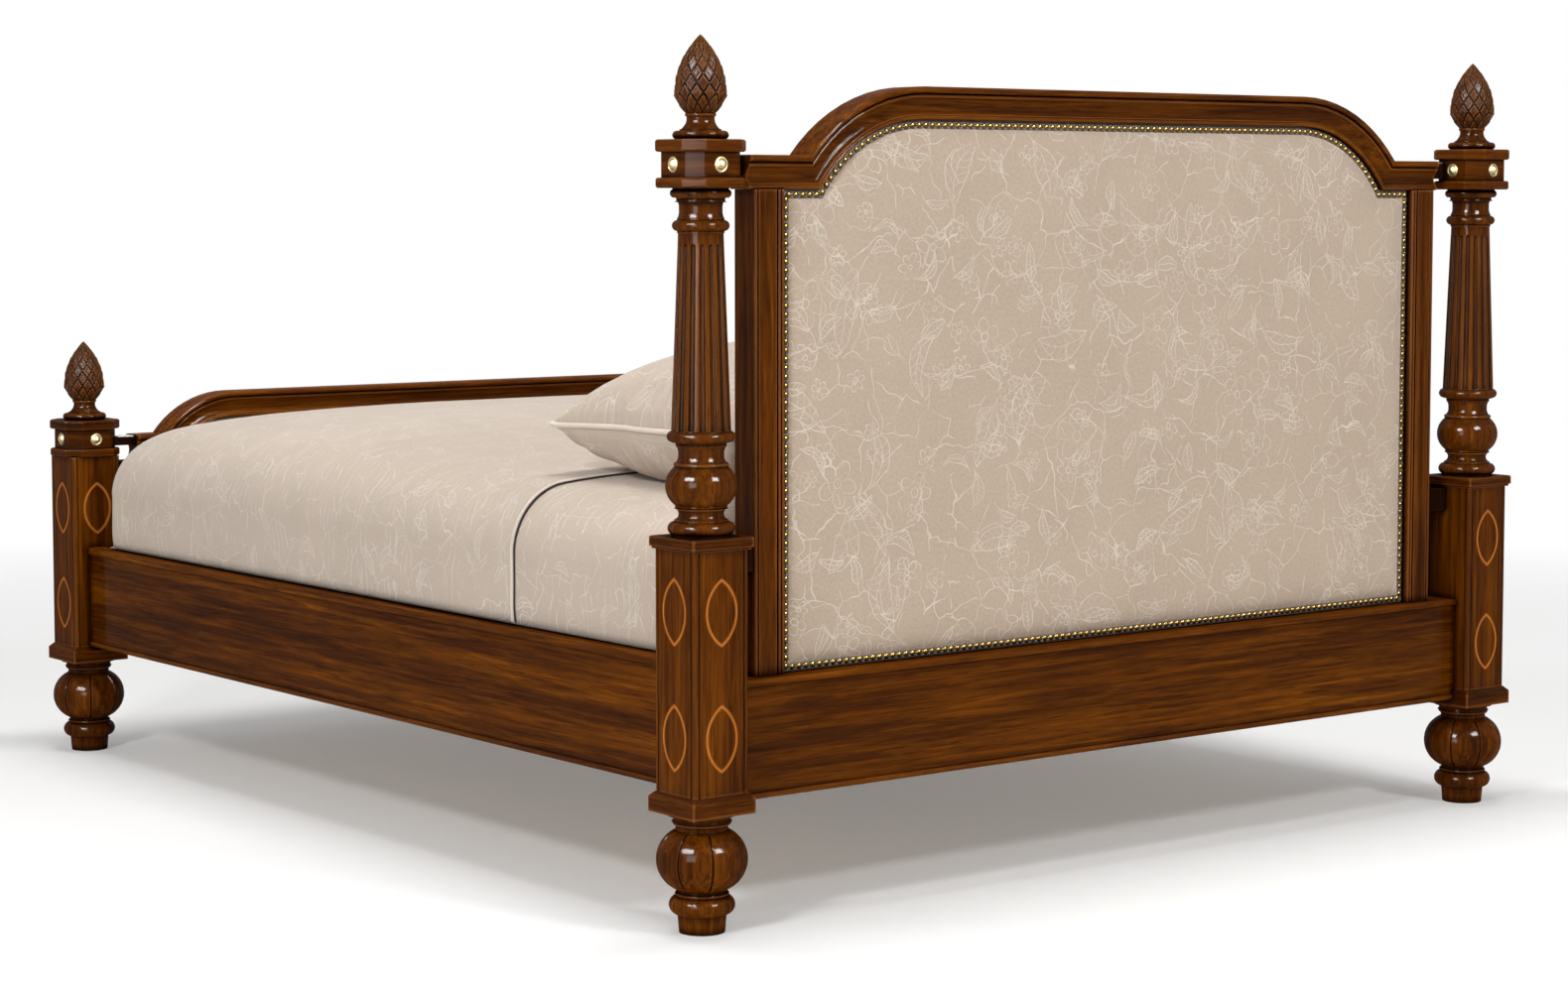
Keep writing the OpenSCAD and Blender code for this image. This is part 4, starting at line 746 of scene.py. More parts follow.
class Opening:
    """The opening of the head or foot board, as an outline drawn in by any distance."""

    def __init__(self, end):
        crown_low, crown_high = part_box(end + "_crown")
        stile_low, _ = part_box(end + "_stile_l")
        _, rail_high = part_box(end + "_bottom_rail")
        self.half_width = stile_low.x
        self.low = rail_high.z
        self.under_shoulder = crown_low.z
        self.middle_z = (self.low + crown_high.z - CROWN_WIDTH) / 2
        self.radius = ARC_RADIUS[end] - CROWN_WIDTH
        self.centre_z = crown_high.z - ARC_RADIUS[end]
        rise = crown_low.z + CROWN_WIDTH - self.centre_z
        foot_x = crown_high.x - SHOULDER_LENGTH[end]
        self.centre_x = foot_x - math.sqrt(ARC_RADIUS[end] ** 2 - rise ** 2)
        self.counts = self.piece_counts()

    def corners(self, inset):
        """The key places of the outline: half width, low, shoulder, arc start and radius."""
        shoulder = self.under_shoulder - inset
        radius = self.radius - inset
        start = math.asin((shoulder - self.centre_z) / radius)
        return self.half_width - inset, self.low + inset, shoulder, start, radius

    def piece_counts(self):
        """How many steps each part of half the outline takes."""
        half, low, shoulder, start, radius = self.corners(0)
        arc_x = self.centre_x + radius * math.cos(start)
        lengths = (half, shoulder - low, half - arc_x, radius * (math.pi / 2 - start),
                   self.centre_x)
        return [max(2, round(length / OUTLINE_STEP)) for length in lengths]

    def outline(self, inset):
        """Points x and z round the outline, from the bottom's middle towards +X."""
        half, low, shoulder, start, radius = self.corners(inset)
        arc_x = self.centre_x + radius * math.cos(start)
        top = self.centre_z + radius
        bottom_n, side_n, shoulder_n, arc_n, top_n = self.counts
        points = [(half * i / bottom_n, low) for i in range(bottom_n)]
        points += [(half, low + (shoulder - low) * i / side_n) for i in range(side_n)]
        points += [(half + (arc_x - half) * i / shoulder_n, shoulder) for i in range(shoulder_n)]
        for i in range(arc_n):
            t = start + (math.pi / 2 - start) * i / arc_n
            points.append((self.centre_x + radius * math.cos(t),
                           self.centre_z + radius * math.sin(t)))
        points += [(self.centre_x * (1 - i / top_n), top) for i in range(top_n)]
        points.append((0.0, top))
        mirrored = [(-x, z) for x, z in points[-2:0:-1]]
        return np.array(points + mirrored)

    def run(self, inset):
        """How far along the outline each of its points lies."""
        steps = np.linalg.norm(np.diff(self.outline(inset), axis=0), axis=1)
        return np.cumsum(np.r_[0, steps])


def upright(outline, y):
    """A ring of points from an outline's x and z and one y, or a y for each."""
    return np.c_[outline[:, 0], y * np.ones(len(outline)), outline[:, 1]]


# Upholstered pads: cloth over wadding, drawn down by the nails at its edge
NAIL_INSET = 8.8 * MM
NAIL_PITCH = 14.1 * MM
NAIL_RADIUS = 5.15 * MM
NAIL_HEIGHT = 3.1 * MM
NAIL_LIFT = 1.9 * MM
BEAD_RADIUS = 1.7 * MM
NAIL_PULL = 0.9 * MM
# where the nails' pull shows most, in from the frame, and over what width, in millimetres
PULL_FROM_FRAME, PULL_WIDTH = 16, 7
PAD_EDGE = 5 * MM
# the pad's side: its gap to the frame, and height as a share of the edge's
PAD_SIDE = ((1.5 * MM, 0.0), (1.6 * MM, 0.8))
# hollows in the cloth, and the share of its rise from which they come in, and how fast
PAD_UNEVEN, PAD_HOLLOW = 0.9 * MM, 0.16
HOLLOW_FROM, HOLLOW_GAIN = 1.2, 1.6
# millimetres in from the frame, and how far the pad has risen from its edge to its crown
PAD_RISE = ((4, 0.0), (NAIL_INSET / MM, 0.0), (13, 0.0), (15, 0.14), (18, 0.31), (23, 0.49),
            (30, 0.64), (40, 0.77), (55, 0.87), (75, 0.925), (100, 0.955))
# rings on the nearly flat middle, as shares of the last of those
PAD_MIDDLE = (0.94, 0.86, 0.74, 0.6, 0.45, 0.3, 0.15)
PATTERN_SHIFT = 0.37


def pad(name, end, outwards):
    """One pad with its gimp and nails. outwards is +1 or -1 along Y."""
    opening = Opening(end)
    low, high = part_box(name)
    back_y, face_y = (low.y, high.y) if outwards > 0 else (high.y, low.y)
    crown = abs(face_y - back_y) - PAD_EDGE
    pull = 0.5 + 0.5 * np.cos(opening.run(NAIL_INSET) * math.tau / NAIL_PITCH)
    rings = [upright(opening.outline(gap), back_y + outwards * PAD_EDGE * share)
             for gap, share in PAD_SIDE]
    for inset, share in PAD_RISE:
        near = math.exp(-((inset - PULL_FROM_FRAME) / PULL_WIDTH) ** 2)
        out = PAD_EDGE + crown * share - NAIL_PULL * near * pull
        rings.append(upright(opening.outline(inset * MM), back_y + outwards * out))
    last_inset, last_share = PAD_RISE[-1]
    inner = opening.outline(last_inset * MM)
    middle = np.array([0.0, opening.middle_z])
    for share in PAD_MIDDLE:
        out = PAD_EDGE + crown * (last_share + (1 - last_share) * (1 - share ** 2))
        rings.append(upright(middle + (inner - middle) * share, back_y + outwards * out))
    points = np.concatenate(rings + [[[0, back_y, opening.middle_z],
                                      [0, face_y, opening.middle_z]]])
    for point in points:
        rise = outwards * (point[1] - back_y)
        if rise > PAD_EDGE * HOLLOW_FROM:
            ease = min(1.0, (rise - PAD_EDGE) / crown * HOLLOW_GAIN)
            point[1] -= outwards * ease * PAD_UNEVEN * (1 + wander(point, PAD_HOLLOW, 3.1))
    made = mesh_piece("cloth_" + name, points, loft_faces(len(rings), len(rings[0])),
                      UPHOLSTERY, cloth=points[:, [0, 2]] + (PATTERN_SHIFT * len(name), 0.0))
    facing_out(made)
    settle(made, "upholstery", name)
    line = upright(opening.outline(NAIL_INSET), back_y + outwards * (PAD_EDGE + NAIL_LIFT))
    nails = grown("nails_" + name, path_object(line, True), NAILS_TREE,
                  {"Pitch": NAIL_PITCH, "Head radius": NAIL_RADIUS, "Head height": NAIL_HEIGHT,
                   "Bead radius": BEAD_RADIUS, "Outwards": (0.0, float(outwards), 0.0),
                   "Finish": NAIL})
    settle(nails, "brass_boss")
    gimp(name, opening, back_y + outwards * PAD_EDGE, outwards)


GIMP_HALF = 12.5 * MM / 2
GIMP_RIB, GIMP_RIB_PITCH = 0.35 * MM, 4.7 * MM
# across the strip: from its middle to one edge, and height in millimetres
GIMP_SECTION = ((-GIMP_HALF, -0.4), (-GIMP_HALF, 0.9), (-GIMP_HALF + 1.4 * MM, 1.9),
                (-GIMP_HALF + 3 * MM, 1.3), (0, 1.5), (GIMP_HALF - 3 * MM, 1.3),
                (GIMP_HALF - 1.4 * MM, 1.9), (GIMP_HALF, 0.9), (GIMP_HALF, -0.4))


def gimp(name, opening, base_y, outwards):
    """A braided strip under the nails, with a ribbed edge on each side."""
    ribs = GIMP_RIB * np.cos(opening.run(NAIL_INSET) * math.tau / GIMP_RIB_PITCH)
    rings = []
    for offset, height in GIMP_SECTION:
        ribbed = height > 0 and offset != 0
        y = base_y + outwards * (height * MM + (ribs if ribbed else 0))
        rings.append(upright(opening.outline(NAIL_INSET + offset), y))
    made = mesh_piece("gimp_" + name, np.concatenate(rings),
                      loft_faces(len(rings), len(rings[0]), closed_rows=True, caps=False), GIMP)
    facing_out(made)
    settle(made, "upholstery")


pad("head_pad_back", "head", 1)
pad("head_pad_front", "head", -1)
pad("foot_pad_inner", "foot", 1)
pad("foot_pad_outer", "foot", -1)


# Bedding
M_LOW, M_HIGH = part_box("mattress")
HALF_X, HALF_Y = M_HIGH.x, M_HIGH.y
MATTRESS_CROWN = 52 * MM
ROLL = 100 * MM
CORNER = 85 * MM
HEAD_REACH, FOOT_REACH = 550 * MM, 350 * MM
FOOT_PLUMP = 18 * MM
CORNER_SAG, CORNER_SPREAD = 25 * MM, 200 * MM
DIP, DIP_X, DIP_Y = 32 * MM, 300 * MM, 260 * MM
PILLOW_PLACES = [tuple(sum(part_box(node), Vector()) / 2)[:2] for node in ("pillow_l", "pillow_r")]
# what the rolled edge adds to the cloth's length: along the roll, as a share of its radius,
# and down a whole side, as a share of its height
ALONG_ROLL, ALONG_SIDE = 0.57, 0.86
# points along each straight side and round each corner of a ring
RING_X, RING_Y, RING_CORNER = 110, 120, 12
WALL_RINGS, ROLL_RINGS = 9, 13
TOP_INSETS = (0.105, 0.13, 0.17, 0.22, 0.28, 0.35, 0.43, 0.52, 0.61, 0.70, 0.79, 0.86, 0.90)
TOP_CORNER, CORNER_SHARPENS = 40 * MM, 0.4
TUCK, TUCK_HEIGHT = 3 * MM, 20 * MM
# where the bed starts to grow fuller towards its foot, and over what length
FULLER_FROM, FULLER_OVER = 0.45, 0.8
# unevenness of the cloth: its size, the widths and shares of broad hollows and of ripples,
# how far the ripples are drawn out, and how much the whole lies below the even surface
UNEVEN, SUNK, DRAWN_OUT = 2.2 * MM, 0.6, 2.5
BROAD, BROAD_SHARE = 0.34, 0.75
RIPPLE, RIPPLE_SHARE = 0.055, 0.25
# it comes in over this height at the bottom, and turns from the sides to the top over this
EASED_UP, WALL_HEIGHT = 0.06, 0.12
# shares of the half width and length past which a place is on a side, and its share there
ON_SIDE, ON_END, SIDE_SHARE = 0.9, 0.92, 0.8


def footward(y):
    """From 0 beside the pillows to 1 over the foot half of the bed, eased."""
    share = min(max((FULLER_FROM - y) / FULLER_OVER, 0), 1)
    return share * share * (3 - 2 * share)


def roll_drop(distance):
    """How far the rolled edge has dropped at a distance in from the rim."""
    return 0 if distance >= ROLL else ROLL - math.sqrt(ROLL ** 2 - (ROLL - distance) ** 2)


def rim_distance(dx, dy):
    """How far in from the mattress's rounded rim a place lies, eased where two sides meet."""
    over_x, over_y = max(CORNER - dx, 0), max(CORNER - dy, 0)
    near = CORNER - math.hypot(over_x, over_y) if over_x and over_y else min(dx, dy)
    return (max(near, 1e-4) ** -2 + max(dx, dy, 1e-4) ** -2) ** -0.5


def bed_top(x, y):
    """Height of the mattress at a place: fuller towards the foot, soft at its foot corners
    and with a dip under each pillow."""
    dx, dy = HALF_X - abs(x), HALF_Y - abs(y)
    distance = rim_distance(dx, dy)
    foot = footward(y)
    reach = HEAD_REACH + (FOOT_REACH - HEAD_REACH) * foot
    crown = (MATTRESS_CROWN + FOOT_PLUMP * foot) * max(1 - distance / reach, 0) ** 2
    sag = CORNER_SAG * foot * math.exp(-(dx + dy) / CORNER_SPREAD)
    dip = sum(math.exp(-((x - px) / DIP_X) ** 2 - ((y - py) / DIP_Y) ** 2)
              for px, py in PILLOW_PLACES)
    return M_HIGH.z + FOOT_PLUMP * foot - crown - roll_drop(distance) - sag - DIP * dip


def plan_ring(inset, radius):
    """A rounded rectangle seen from above, drawn in by inset, with its outward directions."""
    hx, hy = HALF_X - inset, HALF_Y - inset
    r = min(radius, hx, hy)
    points, normals = [], []
    for cx, cy, start, count in ((1, -1, -90, 0), (1, 1, 0, RING_Y), (-1, 1, 90, RING_X),
                                 (-1, -1, 180, RING_Y), (1, -1, 270, RING_X)):
        if count:
            previous = points[-1]
            corner = np.array([cx * (hx - r), cy * (hy - r)])
            turn = math.radians(start)
            target = corner + r * np.array([math.cos(turn), math.sin(turn)])
            for i in range(1, count):
                points.append(tuple(np.array(previous) + (target - previous) * i / count))
                normals.append((math.cos(turn), math.sin(turn)))
        if start < 270:
            for i in range(RING_CORNER + 1):
                turn = math.radians(start + 90 * i / RING_CORNER)
                points.append((cx * (hx - r) + r * math.cos(turn),
                               cy * (hy - r) + r * math.sin(turn)))
                normals.append((math.cos(turn), math.sin(turn)))
    return np.array(points), np.array(normals)


def top_ring(plan, grow):
    """The points of a ring on the mattress's top, lifted by grow."""
    scale_x, scale_y = HALF_X / (HALF_X + grow), HALF_Y / (HALF_Y + grow)
    return np.array([(x, y, bed_top(x * scale_x, y * scale_y) + grow) for x, y in plan])


def mattress_rings(grow, bottom):
    """Rings of points over the mattress, grown by grow, with their places on the cloth."""
    rings, cloth = [], []
    wall, normal = plan_ring(-grow, CORNER + grow)
    wall_top = top_ring(wall, grow)[:, 2:]
    for step in range(WALL_RINGS):
        level = bottom + (wall_top - bottom) * step / WALL_RINGS
        plan = wall - normal * TUCK * np.exp(-((level - M_LOW.z) / TUCK_HEIGHT) ** 2)
        rings.append(np.c_[plan, level])
        cloth.append(plan + normal * (wall_top - level + ROLL * ALONG_ROLL))
    for step in range(ROLL_RINGS):
        turn = math.radians(90 * step / ROLL_RINGS)
        inset = (ROLL + grow) * (1 - math.cos(turn)) - grow
        plan, normal = plan_ring(inset, max(CORNER - inset * CORNER_SHARPENS, TOP_CORNER))
        rings.append(top_ring(plan, grow))
        cloth.append(plan + normal * (ROLL * (1 - math.sin(turn)) * ALONG_ROLL))
    for inset in TOP_INSETS:
        plan, _ = plan_ring(inset, TOP_CORNER)
        rings.append(top_ring(plan, grow))
        cloth.append(plan)
    return rings, cloth


def soften(points):
    """Gives cloth a slight unevenness: broad hollows and finer, stretched ripples."""
    for point in points:
        broad = wander(point, BROAD, 2.0)
        ripple = wander((point[0] / DRAWN_OUT, point[1], point[2]), RIPPLE, 11.0)
        height = min(1.0, max(0.0, (point[2] - M_LOW.z) / EASED_UP))
        move = UNEVEN * height * (BROAD_SHARE * broad + RIPPLE_SHARE * ripple - SUNK)
        wall = max(0.0, min(1.0, (bed_top(0, 0) - point[2]) / WALL_HEIGHT))
        on_side = abs(point[0]) > ON_SIDE * HALF_X
        on_end = abs(point[1]) > ON_END * HALF_Y
        point[0] += move * wall * SIDE_SHARE * on_side * math.copysign(1, point[0])
        point[1] += move * wall * SIDE_SHARE * on_end * math.copysign(1, point[1])
        point[2] += move * (1 - wall)


def make_mattress():
    """The mattress in its cover, with rolled edges."""
    rings, cloth = mattress_rings(0.0, M_LOW.z)
    middle_low, middle_high = (0, 0, M_LOW.z), (0, 0, bed_top(0, 0))
    points = np.concatenate(rings + [[middle_low, middle_high]])
    places = np.concatenate(cloth + [[(0, 0), (0, 0)]])
    soften(points)
    made = mesh_piece("mattress_cover", points, loft_faces(len(rings), len(rings[0])),
                      BEDDING, cloth=places)
    facing_out(made)
    settle(made, "mattress_cover", "mattress")


C_LOW, C_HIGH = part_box("coverlet")
COVER_GROW = 3.2 * MM
COVER_THICK = 1.8 * MM
HEM_RADIUS = 3.2 * MM
# a dark cord painted as the shadow in the gap beside the coverlet's hem: its radius, and its place
# beside and under the hem
HEM_SHADOW_RADIUS = 1.6 * MM
HEM_SHADOW_BESIDE, HEM_SHADOW_UNDER = 4.2 * MM, 1.6 * MM
# height over which the hem turns from the sides to the top, and a place inside its bow
HEM_TURNS, HEM_MIDDLE = 0.25, 0.5


def beside_hem(point):
    """A place beside the coverlet's hem, towards the head and nearer the mattress."""
    inward = Vector((point.x / HALF_X, 0, max(0.0, (point.z - M_LOW.z) / HEM_TURNS) ** 4))
    inward.normalize()
    return point + Vector((0, HEM_SHADOW_BESIDE, 0)) - inward * HEM_SHADOW_UNDER


def make_coverlet():
    """A light quilted coverlet, laid over the mattress and cut square at its hem."""
    rings, cloth = mattress_rings(COVER_GROW, C_LOW.z)
    points = np.concatenate(rings + [[(0, 0, bed_top(0, 0) + COVER_GROW)]])
    places = np.concatenate(cloth + [[(0, 0)]])
    soften(points)
    count = len(rings[0])
    faces = loft_faces(len(rings), count, caps=False)
    middle, top = len(rings) * count, (len(rings) - 1) * count
    faces += [(middle, top + i, top + (i + 1) % count) for i in range(count)]
    made = mesh_piece("coverlet_cloth", points, faces, BEDDING, cloth=places)
    shape = bmesh.new()
    shape.from_mesh(made.data)
    bmesh.ops.bisect_plane(shape, geom=shape.verts[:] + shape.edges[:] + shape.faces[:],
                           plane_co=(0, C_HIGH.y, 0), plane_no=(0, 1, 0), clear_outer=True)
    bmesh.ops.remove_doubles(shape, verts=shape.verts, dist=1e-6)
    shape.to_mesh(made.data)
    shape.free()
    hem = sorted((v.co.copy() for v in made.data.vertices if abs(v.co.y - C_HIGH.y) < 1e-5),
                 key=lambda p: math.atan2(p.z - HEM_MIDDLE, p.x))
    solid = made.modifiers.new("thickness", "SOLIDIFY")
    solid.thickness = COVER_THICK
    solid.offset = 1
    settle(made, "coverlet_cloth", "coverlet")
    hem_cord = corded("coverlet_hem", hem, False, HEM_RADIUS, PIPED)
    settle(hem_cord, "coverlet_cloth")
    # Painted shadow: a dark cord laid along the gap beside the hem
    hem_shadow = corded("coverlet_hem_shadow", [beside_hem(p) for p in hem], False, HEM_SHADOW_RADIUS, HEM_SHADOW)
    settle(hem_shadow, "coverlet_cloth")


# the foundation's side: millimetres in from its widest, and up from its bottom
FOUNDATION_SECTION = ((6, 0), (0, 8), (0.5, 60), (0, 138), (2, 146), (9, 149.6))
FOUNDATION_CORNER, FOUNDATION_TURNS = 20 * MM, 8


def make_foundation():
    """The boxed foundation between the rails, with a welt round its top edge."""
    low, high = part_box("foundation")
    rows = []
    r = FOUNDATION_CORNER
    for inset, level in FOUNDATION_SECTION:
        hx, hy = high.x - inset * MM, high.y - inset * MM
        z = low.z + level / FOUNDATION_SECTION[-1][1] * (high.z - low.z)
        ring = []
        for cx, cy, start in ((1, -1, -90), (1, 1, 0), (-1, 1, 90), (-1, -1, 180)):
            for i in range(FOUNDATION_TURNS + 1):
                turn = math.radians(start + 90 * i / FOUNDATION_TURNS)
                ring.append((cx * (hx - r) + r * math.cos(turn),
                             cy * (hy - r) + r * math.sin(turn), z))
        rows.append(np.array(ring))
    points = np.concatenate(rows + [[(0, 0, low.z), (0, 0, high.z)]])
    made = mesh_piece("foundation_cover", points, loft_faces(len(rows), len(rows[0])), TICKING,
                      cloth=points[:, :2] + points[:, 2:])
    facing_out(made)
    settle(made, "foundation_cloth", "foundation")


# how far the pillow's sides pull in between its corners, as a share of its size
PILLOW_PULL = 0.055
PILLOW_EDGE = 147.5 * MM
PILLOW_ABOVE, PILLOW_BELOW = 136 * MM, 114 * MM
# powers that give how full the pillow is above and below its seam: a smaller one is fuller
FULL_ABOVE, FULL_BELOW = 0.41, 0.45
PILLOW_SEAM = 1.5 * MM
PILLOW_COLUMNS, PILLOW_ROWS = 88, 62
PIPING = 4.8 * MM
# small folds beside the seam: their pitch, reach, height and share above it, and how their
# pitch drifts along the seam, in radians and metres
PUCKER_PITCH, PUCKER_REACH, PUCKER, PUCKER_ABOVE = 46 * MM, 24 * MM, 3.4 * MM, 0.35
PUCKER_DRIFT, DRIFT_LENGTH = 2.4, 0.17
# the case's half sizes on the cloth, and how far apart its two sides lie there
CASE_HALF_X, CASE_HALF_Y, CASE_APART = 0.38, 0.27, 0.8
# how far the pillow's points crowd towards its seam, where the cloth turns most
CROWDED = math.pi * 0.44
UNDER_PILLOW, UNDER_PILLOW_BARE = 5 * MM, 1.0 * MM
PLUMP_FRAMES = 21
PLUMP_LIMIT = 16 * MM


def pucker(run, depth):
    """Height of the small folds beside a seam, at a run along it and a depth in from it."""
    drift = PUCKER_DRIFT * math.sin(run / DRIFT_LENGTH * math.tau)
    fold = math.sin(run / PUCKER_PITCH * math.tau + drift)
    return PUCKER * fold * depth / PUCKER_REACH * math.exp(1 - depth / PUCKER_REACH)


def pillow_place(low, high, edge_z, u, v, side):
    """A point of a plump, knife edged pillow; u and v run from -1 to 1."""
    cx, cy = (low.x + high.x) / 2, (low.y + high.y) / 2
    hx, hy = (high.x - low.x) / 2, (high.y - low.y) / 2
    x = cx + hx * u * (1 - PILLOW_PULL * (1 - v * v))
    y = cy + hy * v * (1 - PILLOW_PULL * (1 - u * u))
    full = max((1 - u * u) * (1 - v * v), 0) ** (FULL_ABOVE if side > 0 else FULL_BELOW)
    h = (PILLOW_ABOVE if side > 0 else PILLOW_BELOW) * full + PILLOW_SEAM * (full > 0)
    folds = pucker(x + side, hy * (1 - abs(v))) + pucker(y + side, hx * (1 - abs(u)))
    h += folds * (PUCKER_ABOVE if side > 0 else 1.0)
    return [x, y, max(edge_z + side * h, bed_top(x, y) + UNDER_PILLOW)]


def make_pillow(node, seed):
    """A pillow in its case, piped round its seam. seed shifts the pattern on its cloth."""
    low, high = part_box(node)
    edge_z = high.z - PILLOW_EDGE
    columns, rows = PILLOW_COLUMNS, PILLOW_ROWS
    index, points, cloth = {}, [], []
    for side in (1, -1):
        for j in range(rows + 1):
            for i in range(columns + 1):
                rim = i in (0, columns) or j in (0, rows)
                if rim and side < 0:
                    index[i, j, side] = index[i, j, 1]
                    continue
                u = math.sin((i / columns - 0.5) * 2 * CROWDED) / math.sin(CROWDED)
                v = math.sin((j / rows - 0.5) * 2 * CROWDED) / math.sin(CROWDED)
                index[i, j, side] = len(points)
                points.append(pillow_place(low, high, edge_z, u, v, side))
                cloth.append((u * CASE_HALF_X + seed, v * CASE_HALF_Y + side * CASE_APART))
    faces = []
    for side in (1, -1):
        for j in range(rows):
            for i in range(columns):
                quad = [index[i, j, side], index[i + 1, j, side], index[i + 1, j + 1, side],
                        index[i, j + 1, side]]
                faces.append(quad if side > 0 else quad[::-1])
    made = mesh_piece("case_" + node, points, faces, BEDDING, cloth=cloth)
    rim = ([index[i, 0, 1] for i in range(columns)] + [index[columns, j, 1] for j in range(rows)]
           + [index[columns - i, rows, 1] for i in range(columns)]
           + [index[0, rows - j, 1] for j in range(rows)])
    plump(made, rim)
    points = points_of(made.data)
    for point in points:
        gap = UNDER_PILLOW if point[1] < C_HIGH.y else UNDER_PILLOW_BARE
        point[2] = max(point[2], bed_top(point[0], point[1]) + gap)
    made.data.vertices.foreach_set("co", points.ravel())
    piping = corded("piping_" + node, [Vector(points[k]) for k in rim], True, PIPING, PIPED)
    smooth = made.modifiers.new("smooth", "SUBSURF")
    smooth.levels = smooth.render_levels = 1
    settle(made, "pillow_cloth", node)
    settle(piping, "pillow_cloth")


def plump(piece, rim):
    """Fills the pillow with a short cloth simulation, so that its case puckers at the seam."""
    start = points_of(piece.data)
    pinned = piece.vertex_groups.new(name="seam")
    pinned.add([rim[0], rim[PILLOW_COLUMNS], rim[PILLOW_COLUMNS + PILLOW_ROWS],
                rim[2 * PILLOW_COLUMNS + PILLOW_ROWS]], 1.0, "REPLACE")
    cloth = piece.modifiers.new("cloth", "CLOTH")
    settings = cloth.settings
    settings.quality = 6
    settings.mass = 0.25
    settings.tension_stiffness = settings.compression_stiffness = 12
    settings.bending_stiffness = 0.15
    settings.use_pressure = True
    settings.uniform_pressure_force = 3.2
    settings.shrink_min = -0.035
    settings.vertex_group_mass = "seam"
    settings.effector_weights.gravity = 0
    cloth.collision_settings.use_collision = False
    for number in range(1, PLUMP_FRAMES + 1):
        SCENE.frame_set(number)
    depsgraph = bpy.context.evaluated_depsgraph_get()
    change = points_of(piece.evaluated_get(depsgraph).data) - start
    piece.modifiers.remove(cloth)
    SCENE.frame_set(1)
    far = np.linalg.norm(change, axis=1, keepdims=True)
    change *= PLUMP_LIMIT * np.tanh(far / PLUMP_LIMIT) / np.maximum(far, 1e-9)
    piece.data.vertices.foreach_set("co", (start + change).ravel())
    piece.data.update()


make_mattress()
make_coverlet()
make_foundation()
make_pillow("pillow_l", 0.2)
make_pillow("pillow_r", 3.4)


# Carved pine cones: a grid bent round into a cone, with crossing spirals of grooves
CONE_RADIUS = 38.5 * MM
CONE_FOOT_RADIUS = 23 * MM
CONE_WIDEST = 0.28
CONE_LIFT = 5.0 * MM
CONE_SCALES = 12
CONE_ROWS = 4.0
CONE_GRID = 265, 171
CONE_SEW = 0.02 * MM
# height over one scale, from its middle to the groove round it
SCALE_SECTION = ((0.0, 0.76), (0.66, 0.76), (0.74, 0.90), (0.80, 0.92), (0.88, 0.28), (1.0, 0.0))
# where the scales stand fullest and how far that spreads, as shares of the cone's height,
# and by how much they stand fuller
FULLEST, FULL_SPREAD, FULLER = 0.235, 0.05, 0.45
# a scale's height at its lower end and its tilt up to the other, and the groove's depth
SCALE_LOW, SCALE_TILT, GROOVE = 0.45, 0.62, 0.45
# powers that give how the cone draws in to its tip, and its scales with it
TIP_POWER, SMALLER_POWER = 2.08, 0.6


def cone_outline(tree, up, radius, foot, widest):
    """Radius of the cone at a share of its height: it swells to its widest place and then
    draws in to its tip."""
    below = add(tree, MATHS, up, widest, operation="DIVIDE")
    below = add(tree, MATHS, 1.0, below, operation="SUBTRACT")
    below = add(tree, MATHS, 0.0, below, operation="MAXIMUM")
    low = add(tree, MATHS, add(tree, MATHS, below, 2.0, operation="POWER"),
              add(tree, MATHS, radius, foot, operation="SUBTRACT"), operation="MULTIPLY")
    above = add(tree, MATHS, add(tree, MATHS, up, widest, operation="SUBTRACT"),
                add(tree, MATHS, 1.0, widest, operation="SUBTRACT"), operation="DIVIDE")
    above = add(tree, MATHS, 0.0, above, operation="MAXIMUM")
    high = add(tree, MATHS, above, TIP_POWER, operation="POWER")
    high = add(tree, MATHS, high, radius, operation="MULTIPLY")
    drawn_in = add(tree, MATHS, low, high, operation="ADD")
    return add(tree, MATHS, radius, drawn_in, operation="SUBTRACT")


def scale_lift(tree, around, rows, up):
    """How far each scale stands out, as a share: its section, its tilt towards its upper
    end, and the fuller scales above the cone's foot."""
    cells = []
    for direction in ("ADD", "SUBTRACT"):
        spiral = add(tree, MATHS, around, rows, operation=direction)
        spiral = add(tree, MATHS, 100.0, spiral, operation="ADD")
        spiral = add(tree, MATHS, spiral, operation="FRACT")
        cells.append(add(tree, MATHS, spiral, 0.5, operation="SUBTRACT"))
    edge = add(tree, MATHS, *[add(tree, MATHS, cell, operation="ABSOLUTE") for cell in cells],
               operation="MAXIMUM")
    edge = add(tree, MATHS, 2.0, edge, operation="MULTIPLY")
    face = add(tree, "ShaderNodeFloatCurve", {"Value": edge})
    curve = face.node.mapping.curves[0]
    while len(curve.points) < len(SCALE_SECTION):
        curve.points.new(0.5, 0.5)
    for point, place in zip(curve.points, SCALE_SECTION):
        point.location = place
    face.node.mapping.update()
    level = add(tree, MATHS, *cells, operation="SUBTRACT")
    level = add(tree, MATHS, level, 0.5, 0.5, operation="MULTIPLY_ADD")
    tilt = add(tree, MATHS, level, SCALE_TILT, SCALE_LOW, operation="MULTIPLY_ADD")
    full = add(tree, MATHS, up, FULLEST, operation="SUBTRACT")
    full = add(tree, MATHS, full, FULL_SPREAD, operation="DIVIDE")
    full = add(tree, MATHS, full, 2.0, operation="POWER")
    full = add(tree, MATHS, -1.0, full, operation="MULTIPLY")
    full = add(tree, MATHS, full, operation="EXPONENT")
    full = add(tree, MATHS, FULLER, full, 1.0, operation="MULTIPLY_ADD")
    lift = add(tree, MATHS, face, tilt, operation="MULTIPLY")
    lift = add(tree, MATHS, lift, full, operation="MULTIPLY")
    return add(tree, MATHS, lift, GROOVE, operation="SUBTRACT")


